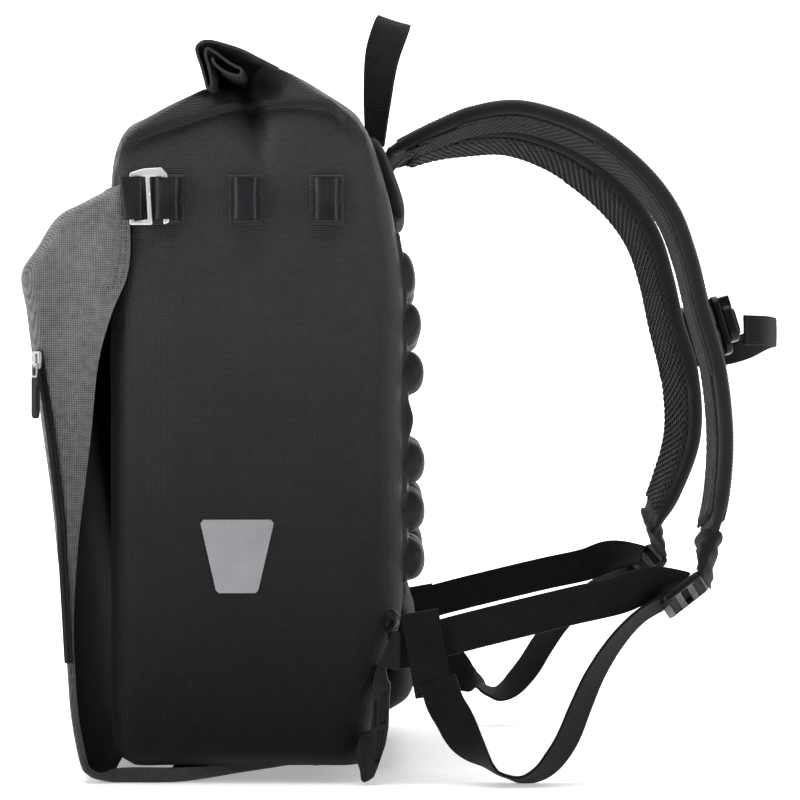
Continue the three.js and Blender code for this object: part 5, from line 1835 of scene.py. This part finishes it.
WebbingRow = namedtuple("WebbingRow", "reach height drop side twist")
lower_course = [WebbingRow(*row) for row in (
    (-0.04, 0.197, 0.0, 1.01, -90),
    (0.01, 0.2, 0.0, 1.01, -90),
    (0.149, 0.219, 0.0, 1.009, -90),
    (0.507, 0.261, 0.0, 1.0, -90),
    (0.665, 0.278, 0.0, 0.987, -88),
    (0.75, 0.293, 0.0, 0.973, -70),
)]
lower_seat = (0.12, 0.008)
tail_course = [WebbingRow(*row) for row in (
    (0.106, 0.155, 0.0, 1.033, -90),
    (0.116, 0.141, 0.0, 1.033, -90),
    (0.13, 0.121, 0.0, 1.025, -90),
    (0.158, 0.13, 0.13, 1.022, -90),
    (0.187, 0.15, 0.32, 1.018, -70),
    (0.221, 0.19, 0.57, 1.012, -42),
    (0.259, 0.24, 0.843, 1.005, -16),
    (0.286, 0.24, 0.885, 1.0, -9),
    (0.326, 0.24, 0.915, 1.0, -10),
    (0.37, 0.24, 0.928, 1.0, -19),
    (0.424, 0.24, 0.885, 1.0, -31),
    (0.463, 0.24, 0.81, 1.0, -39),
    (0.503, 0.24, 0.69, 1.0, -41),
    (0.543, 0.24, 0.505, 0.998, -39),
    (0.588, 0.24, 0.314, 0.994, -35),
    (0.656, 0.24, 0.116, 0.984, -30),
    (0.726, 0.24, -0.02, 0.965, -27),
)]
far_tail_back = 0.045
far_tail_tip_out = 0.028
tail_seat = (-0.36, 0.0044)
webbing_camber = 0.0004


def webbing_band(course, side, seat, steps):
    centre, lengthways, _, inward = lock_frame(side)
    stations = []
    for row in course:
        back = 0.0
        if side == far and seat is tail_seat:
            back = far_tail_back * hill(row.reach - 0.48, 0.13)
            back -= far_tail_tip_out * soft_step((0.36 - row.reach) / 0.15)
        place = Vector((back_wall + (row.reach - back) * strap_reach, side * row.side * half_bag,
                        row.height * strap_height - row.drop * tail_drops[side]))
        stations.append((place, webbing_width, -side * row.twist))
    along, into = seat
    stations.append((centre + lengthways * along * lock_length + inward * into, webbing_width, side * 27))
    return band_along(stations, steps)


def make_lower_webbing(side):
    band = webbing_band(lower_course, side, lower_seat, 120)
    mesh = rounded_band("lower_webbing_strip", band, webbing_thickness, camber=webbing_camber)
    keep_side(side, "lower_webbing_strip", mesh, webbing, "lower_webbing")


def make_tail(side):
    band = webbing_band(tail_course, side, tail_seat, 200)
    mesh = rounded_band("hanging_end", band, webbing_thickness, camber=webbing_camber)
    keep_side(side, "hanging_end", mesh, webbing, "tail_webbing")


keeper_height = 0.056
keeper_lean = math.radians(10)
keeper_clear = webbing_thickness + 3 * seat_gap
keeper_places = {near: (0.074, 0.193), far: (0.074, 0.179)}


def make_keeper(side):
    """The sewn keeper: the hanging end's webbing folded round the lower webbing and stitched to itself."""
    half = keeper_clear / 2 + webbing_thickness
    centre_x = back_wall + keeper_places[side][0] * strap_reach
    centre_z = keeper_places[side][1] * strap_height
    middle_y = -lower_course[1].side * half_bag
    rise = Vector((-math.sin(keeper_lean), 0, math.cos(keeper_lean)))
    wide = Vector((math.cos(keeper_lean), 0, math.sin(keeper_lean)))
    middle = Vector((centre_x, middle_y, centre_z))
    reach = keeper_height / 2
    course = [squared_round(2 * math.pi * i / 90, 0.28, 0.55) for i in range(90)]

    def fold(tall, deep):
        return [[middle + wide * w + rise * (z * tall) + across * (y * deep) for z, y in course]
                for w in even_steps(-webbing_width / 2, webbing_width / 2, 8)]

    outer = fold(reach, half)
    inner = fold(reach - webbing_thickness, keeper_clear / 2)
    mesh = loft("keeper", outer + inner[::-1] + [outer[0]], cap_start=False, cap_end=False)
    for face_uv in mesh.uv_layers.active.data:
        face_uv.uv = (face_uv.uv[1], face_uv.uv[0])
    face_outwards(mesh, weld=True)
    sharpen(mesh, 50)
    keep_side(side, "keeper_fold", mesh, webbing, "webbing_keeper", mirror=True)
    outward = Vector((0, side, 0))
    for drop in (-0.0235, -0.0205):
        start = Vector((middle.x, side * (-middle_y + half), middle.z)) + rise * drop
        stitch([(start + wide * webbing_width * share, outward) for share in even_steps(-0.42, 0.42, 6)])


for side in (near, far):
    make_lower_webbing(side)
    make_tail(side)
    make_keeper(side)


# The small parts at the bag's corners and base

def make_corner_anchor(side):
    """The webbing tab that the lower webbing is sewn to."""
    left = back_wall - 0.026
    middle = lower_course[0].height * strap_height
    outside = lower_course[0].side * half_bag + webbing_thickness / 2 + seat_gap
    reach = webbing_width * 0.9
    outline = rounded([
        (left + 0.009, middle - webbing_width * 0.45),
        (left + reach + 0.002, middle - webbing_width * 0.46),
        (left + reach + 0.002, middle + webbing_width * 0.5),
        (left + reach * 0.88, middle + webbing_width * 0.52),
    ], 0.0008)
    place = side_plane(-(outside + webbing_thickness / 2))
    mesh = plate("anchor", outline, webbing_thickness, 0.0006, place=place)
    keep_side(side, "corner_anchor_tab", mesh, haul_webbing, "corner_anchor", mirror=True)
    front = side * (outside + webbing_thickness)
    start = (left + reach - 0.001, front, middle - webbing_width * 0.4)
    end = (left + reach - 0.001, front, middle + webbing_width * 0.42)
    stitch(straight_row(start, end, Vector((0, side, 0)), 6))


def turned_mesh(name, profile, radius, height, place, segments=40):
    """A round part from a profile of shares of its radius and its height, set in place by a matrix."""
    rings = []
    for wide, high in profile:
        ring = []
        for k in range(segments):
            angle = 2 * math.pi * k / segments
            reach = wide * radius
            ring.append(place @ Vector((math.cos(angle) * reach, math.sin(angle) * reach, high * height)))
        rings.append(ring)
    return solid_loft(name, rings, 35)


def make_anchor_cap(side):
    """The round cap over the corner's rivet: a shallow dome in a raised ring."""
    z = height_at(0.2)
    facing = math.radians(-37)
    outward = Vector((math.cos(facing), math.sin(facing), 0))
    corner = Vector((back_wall_at(z) - back_corner, back_corner - half_bag, z))
    centre = corner + outward * (back_corner + 2 * seat_gap)
    profile = (
        (1.0, 0.0), (1.0, 0.3), (0.95, 0.45), (0.86, 0.6), (0.8, 0.66), (0.74, 0.66), (0.7, 0.58),
        (0.66, 0.62), (0.52, 0.82), (0.32, 0.96), (0.12, 1.0),
    )
    turn = frame_matrix(outward.cross(up), up, outward, centre)
    mesh = turned_mesh("anchor_cap_dome", profile, cap_diameter / 2, cap_height, turn)
    keep_side(side, "anchor_cap_dome", mesh, black_plastic, "anchor_cap", mirror=True)


def make_rear_clip(side):
    """The moulded base clip: a curved blade with a slot, a rib round it and a thicker foot."""
    left = back_wall_at(height_at(0.06)) - clip_depth * 0.5
    shape = (
        (0.61, 1.0), (0.9, 1.0), (0.96, 0.89), (1.05, 0.85), (1.02, 0.72), (0.99, 0.49), (0.9, 0.34),
        (0.67, 0.15),
        (0.54, 0.06), (0.31, 0.02), (0.16, 0.04), (0.13, 0.13), (0.04, 0.2), (0.07, 0.37), (0.19, 0.43),
        (0.43, 0.45), (0.49, 0.59), (0.52, 0.75), (0.54, 0.8), (0.49, 0.86),
    )
    slots = (
        ((0.77, 0.79), (0.93, 0.8), (0.9, 0.53), (0.72, 0.52)),
        ((0.69, 0.47), (0.86, 0.48), (0.69, 0.2), (0.58, 0.2)),
        ((0.58, 0.72), (0.66, 0.72), (0.62, 0.5), (0.56, 0.5)),
    )

    def spread(points, grow=1.0):
        x0 = sum(x for x, _ in points) / len(points)
        z0 = sum(z for _, z in points) / len(points)
        return [(left + (x0 + (x - x0) * grow) * clip_depth, (z0 + (z - z0) * grow) * clip_height)
                for x, z in points]

    outline = rounded(spread(shape), 0.0016)
    holes = [rounded(spread(slot), 0.0006) for slot in slots]
    middle = clip_width / 2 - half_bag
    meshes = [
        plate("clip_blade", outline, clip_width - 0.0024, 0.0012, place=side_plane(middle + 0.0012)),
        plate("clip_face", rounded(spread(shape, 0.985), 0.0016), 0.003, 0.0006, holes,
              side_plane(0.0015 - half_bag)),
    ]
    foot = rounded(spread(shape[9:15]), 0.002)
    meshes.append(plate("clip_foot", foot, 0.0016, 0.0007, place=side_plane(-half_bag - 0.0003)))
    mesh = joined("rear_clip_blade", meshes)
    keep_side(side, "rear_clip_blade", mesh, black_plastic, "rear_clip", mirror=True)


def make_base_knob(side):
    """The round stud under the base."""
    height = 0.0034
    x = front_wall + tongue_length + knob_diameter / 2 + 0.003
    top = bag_lift - seat_gap
    profile = ((0.9, 0.0), (1.0, 0.12), (1.0, 0.62), (0.92, 0.86), (0.7, 0.98), (0.3, 1.0))
    place = Matrix.Translation((x, side * half_bag * 0.72, top)) @ Matrix.Scale(-1, 4, up)
    mesh = turned_mesh("base_stud", profile, knob_diameter / 2, height, place, 32)
    keep_side(side, "base_stud", mesh, black_plastic, "base_knob")


for side in (near, far):
    make_corner_anchor(side)
    make_anchor_cap(side)
    make_rear_clip(side)
    make_base_knob(side)


# The chest strap, its sliders on the rails and its buckle

chest_height = 0.667
slider_depth = 0.005
slider_width = 0.030
slider_tall = 0.040
buckle_depth = 0.009
chest_lead = 0.0046
chest_sag = 0.012


def rail_frame(side, lift):
    """Where the chest strap meets a strap's rail: X out of the rail, Y across it and Z along it."""
    band = strap_bands[side]
    level = chest_height * strap_height
    row = max(i for i, station in enumerate(band) if station.place.z > level)
    above, below = band[row], band[row + 1]
    share = (above.place.z - level) / (above.place.z - below.place.z)
    normal = above.normal.lerp(below.normal, share).normalized()
    across_rail = above.side.lerp(below.side, share).normalized()
    rise = strap_pad / 2 + layer_gap + strap_rail + 2 * seat_gap
    place = above.place.lerp(below.place, share) + normal * (rise + lift)
    return frame_matrix(across_rail, normal.cross(across_rail), normal, place)


def make_chest_slider(side):
    """The slider that grips the rail: a flat plate with two slots, a floor under it and a raised lip at its
    upper end.
    """
    wide, tall = slider_width / 2, slider_tall / 2
    body = cut_box(wide, tall, wide * 0.7, tall * 0.8, 0.003)
    holes = [box_outline(-wide * 0.72, tall * low, wide * 0.72, tall * (low + 0.48), 0.0015)
             for low in (-0.62, 0.14)]
    meshes = [
        plate("slider_plate", body, slider_depth, 0.0012, holes, rail_frame(side, slider_depth / 2)),
        plate("slider_floor", box_outline(-wide * 0.8, -tall * 0.7, wide * 0.8, tall * 0.7, 0.002),
              slider_depth * 0.4, 0.0006, place=rail_frame(side, slider_depth * 0.3)),
    ]
    ear = box_outline(-wide * 0.55, tall * 0.45, wide * 0.55, tall * 0.92, 0.002)
    meshes.append(plate("slider_ear", ear, slider_depth * 1.8, 0.001,
                        place=rail_frame(side, slider_depth * 1.7)))
    mesh = joined("chest_slider_plate", meshes)
    keep_side(side, "chest_slider_plate", mesh, black_plastic, "chest_slider")


def make_chest_buckle():
    """The buckle on the near slider: a body with a raised middle."""
    wide, tall = slider_width * 0.375, (chest_webbing_width + 0.005) / 2
    body = cut_box(wide, tall, wide * 0.6, tall * 0.7, 0.003)
    lift = slider_depth + seat_gap
    meshes = [plate("buckle_body", body, buckle_depth * 0.8, 0.0016,
                    place=rail_frame(near, lift + buckle_depth * 0.4))]
    crown = [(x * 0.62, y * 0.7) for x, y in body]
    meshes.append(plate("buckle_crown", crown, buckle_depth * 0.3, 0.001,
                        place=rail_frame(near, lift + buckle_depth * 0.85)))
    mesh = joined("chest_buckle_body", meshes)
    keep_one("chest_buckle_body", mesh, black_plastic, "chest_buckle")


def make_chest_webbing():
    near_place = rail_frame(near, 0.0).translation
    far_place = rail_frame(far, 0.0).translation
    apex = near_place.x + slider_depth + chest_bow
    shape = ((0.0, 1.0), (0.45, 0.86), (0.8, 0.56), (0.96, 0.26), (1.0, 0.0))

    def leg(end, start_x):
        return [(mix(start_x, apex, out), side_share * end.y, near_place.z) for out, side_share in shape]

    near_leg = leg(near_place, near_place.x + slider_depth + buckle_depth + chest_lead)
    far_leg = leg(far_place, far_place.x + slider_depth + chest_lead)[:-1][::-1]
    far_leg = [(x, y, z - chest_sag * soft_step(y / far_place.y)) for x, y, z in far_leg]
    course = smooth_course(near_leg + far_leg)
    band = []
    for i in range(121):
        tangent = direction_at(course, i / 120)
        band.append(Station(course(i / 120) - up * 0.002, tangent, up, chest_webbing_width * 0.97))
    mesh = rounded_band("chest_webbing_bow", band, webbing_thickness, camber=0.0003)
    keep_one("chest_webbing_bow", mesh, webbing, "chest_webbing")
    for edge in (-1, 1):
        for face in (-1, 1):
            stitch([(s.point(edge * (s.width / 2 - 0.002), face * webbing_thickness / 2), s.normal * face)
                    for s in band[6:-6]])


for side in (near, far):
    make_chest_slider(side)
make_chest_buckle()
make_chest_webbing()


# Seams and stitches

def make_cover_seams():
    """The double seam at the top of each wing's edge and the short seam across it."""
    for side in (near, far):
        outward = Vector((0, side, 0))
        for into in (0.9, 0.955):
            stitch([(cover_wing_at(place, into, 0.0002, side), outward)
                    for place in even_steps(0.6, 4.1, 30)])
        stitch([(cover_wing_at(4.3, into, 0.0002, side), outward) for into in even_steps(0.72, 0.96, 8)])


make_cover_seams()
stitches = grown_mesh("seam_stitches", path_mesh("stitch_paths", stitch_rows), stitch_tree,
                      Pitch=0.0028, Size=(0.0019, 0.0006, 0.0004), Material=dark_thread)
keep(object_of("seam_stitches", stitches))


# The studio: a pale floor, soft light and the camera

def make_floor():
    """A wide pale floor that curves up behind the pack."""
    size, rise = 4.0, 2.6
    rows = [(-size, 0.0), (1.2, 0.0), (1.6, 0.05), (1.9, 0.2), (2.1, 0.5), (2.2, 1.0), (2.2, rise)]
    grid = [[Vector((x, y, z)) for x in (-size, -size / 2, 0.0, size / 2, size)] for y, z in rows]
    mesh = loft("studio_floor", grid, closed=False)
    if mesh.polygons[0].normal.z < 0:
        mesh.flip_normals()
    paint = Surface("studio_paint", (0.93, 0.93, 0.93), 0.85, specular=0.1)
    paint.link(paint.ramp(paint.noise(3, 2), 0.8, 0.9), paint.shader.inputs["Roughness"])
    spot = paint.node("ShaderNodeSeparateXYZ")
    paint.link(paint.place, spot.inputs[0])
    glow = paint.ramp(spot.outputs["Y"], 0.35, 1.0, 0.1, 1.4)
    paint.shader.inputs["Emission Color"].default_value = (1, 1, 1, 1)
    paint.link(glow, paint.shader.inputs["Emission Strength"])
    object_of("studio_floor", dress(mesh, paint.material))


def area_light(name, place, aim, size, power, color=(1, 1, 1)):
    light = bpy.data.lights.new(name, "AREA")
    light.shape = "RECTANGLE"
    light.size, light.size_y = size
    light.energy = power
    light.color = color
    lamp = bpy.data.objects.new(name, light)
    lamp.location = place
    lamp.rotation_euler = (Vector(aim) - Vector(place)).to_track_quat("-Z", "Y").to_euler()
    scene.collection.objects.link(lamp)


def make_studio():
    make_floor()
    middle = (0.1, 0.0, 0.25)
    area_light("sky", (0.0, 0.0, 1.9), middle, (2.2, 1.6), 42)
    area_light("left_wall", (-2.0, -0.7, 0.9), middle, (1.4, 1.8), 26)
    area_light("right_wall", (2.1, -0.6, 0.5), middle, (1.2, 1.6), 18)
    world = bpy.data.worlds.new("studio")
    world.use_nodes = True
    world.node_tree.nodes["Background"].inputs["Color"].default_value = (1, 1, 1, 1)
    world.node_tree.nodes["Background"].inputs["Strength"].default_value = 0.16
    scene.world = world
    scene.view_settings.view_transform = "Standard"
    scene.view_settings.look = "None"


def make_camera():
    camera = bpy.data.cameras.new("camera")
    camera.sensor_width = 36.0
    camera.lens = 36.0 * 2439 / 800
    camera.clip_start = 0.05
    camera.clip_end = 30
    holder = bpy.data.objects.new("camera", camera)
    holder.location = (0.1643, -1.75, 0.253)
    holder.rotation_euler = (math.pi / 2, 0, 0)
    scene.collection.objects.link(holder)
    scene.camera = holder


make_studio()
make_camera()
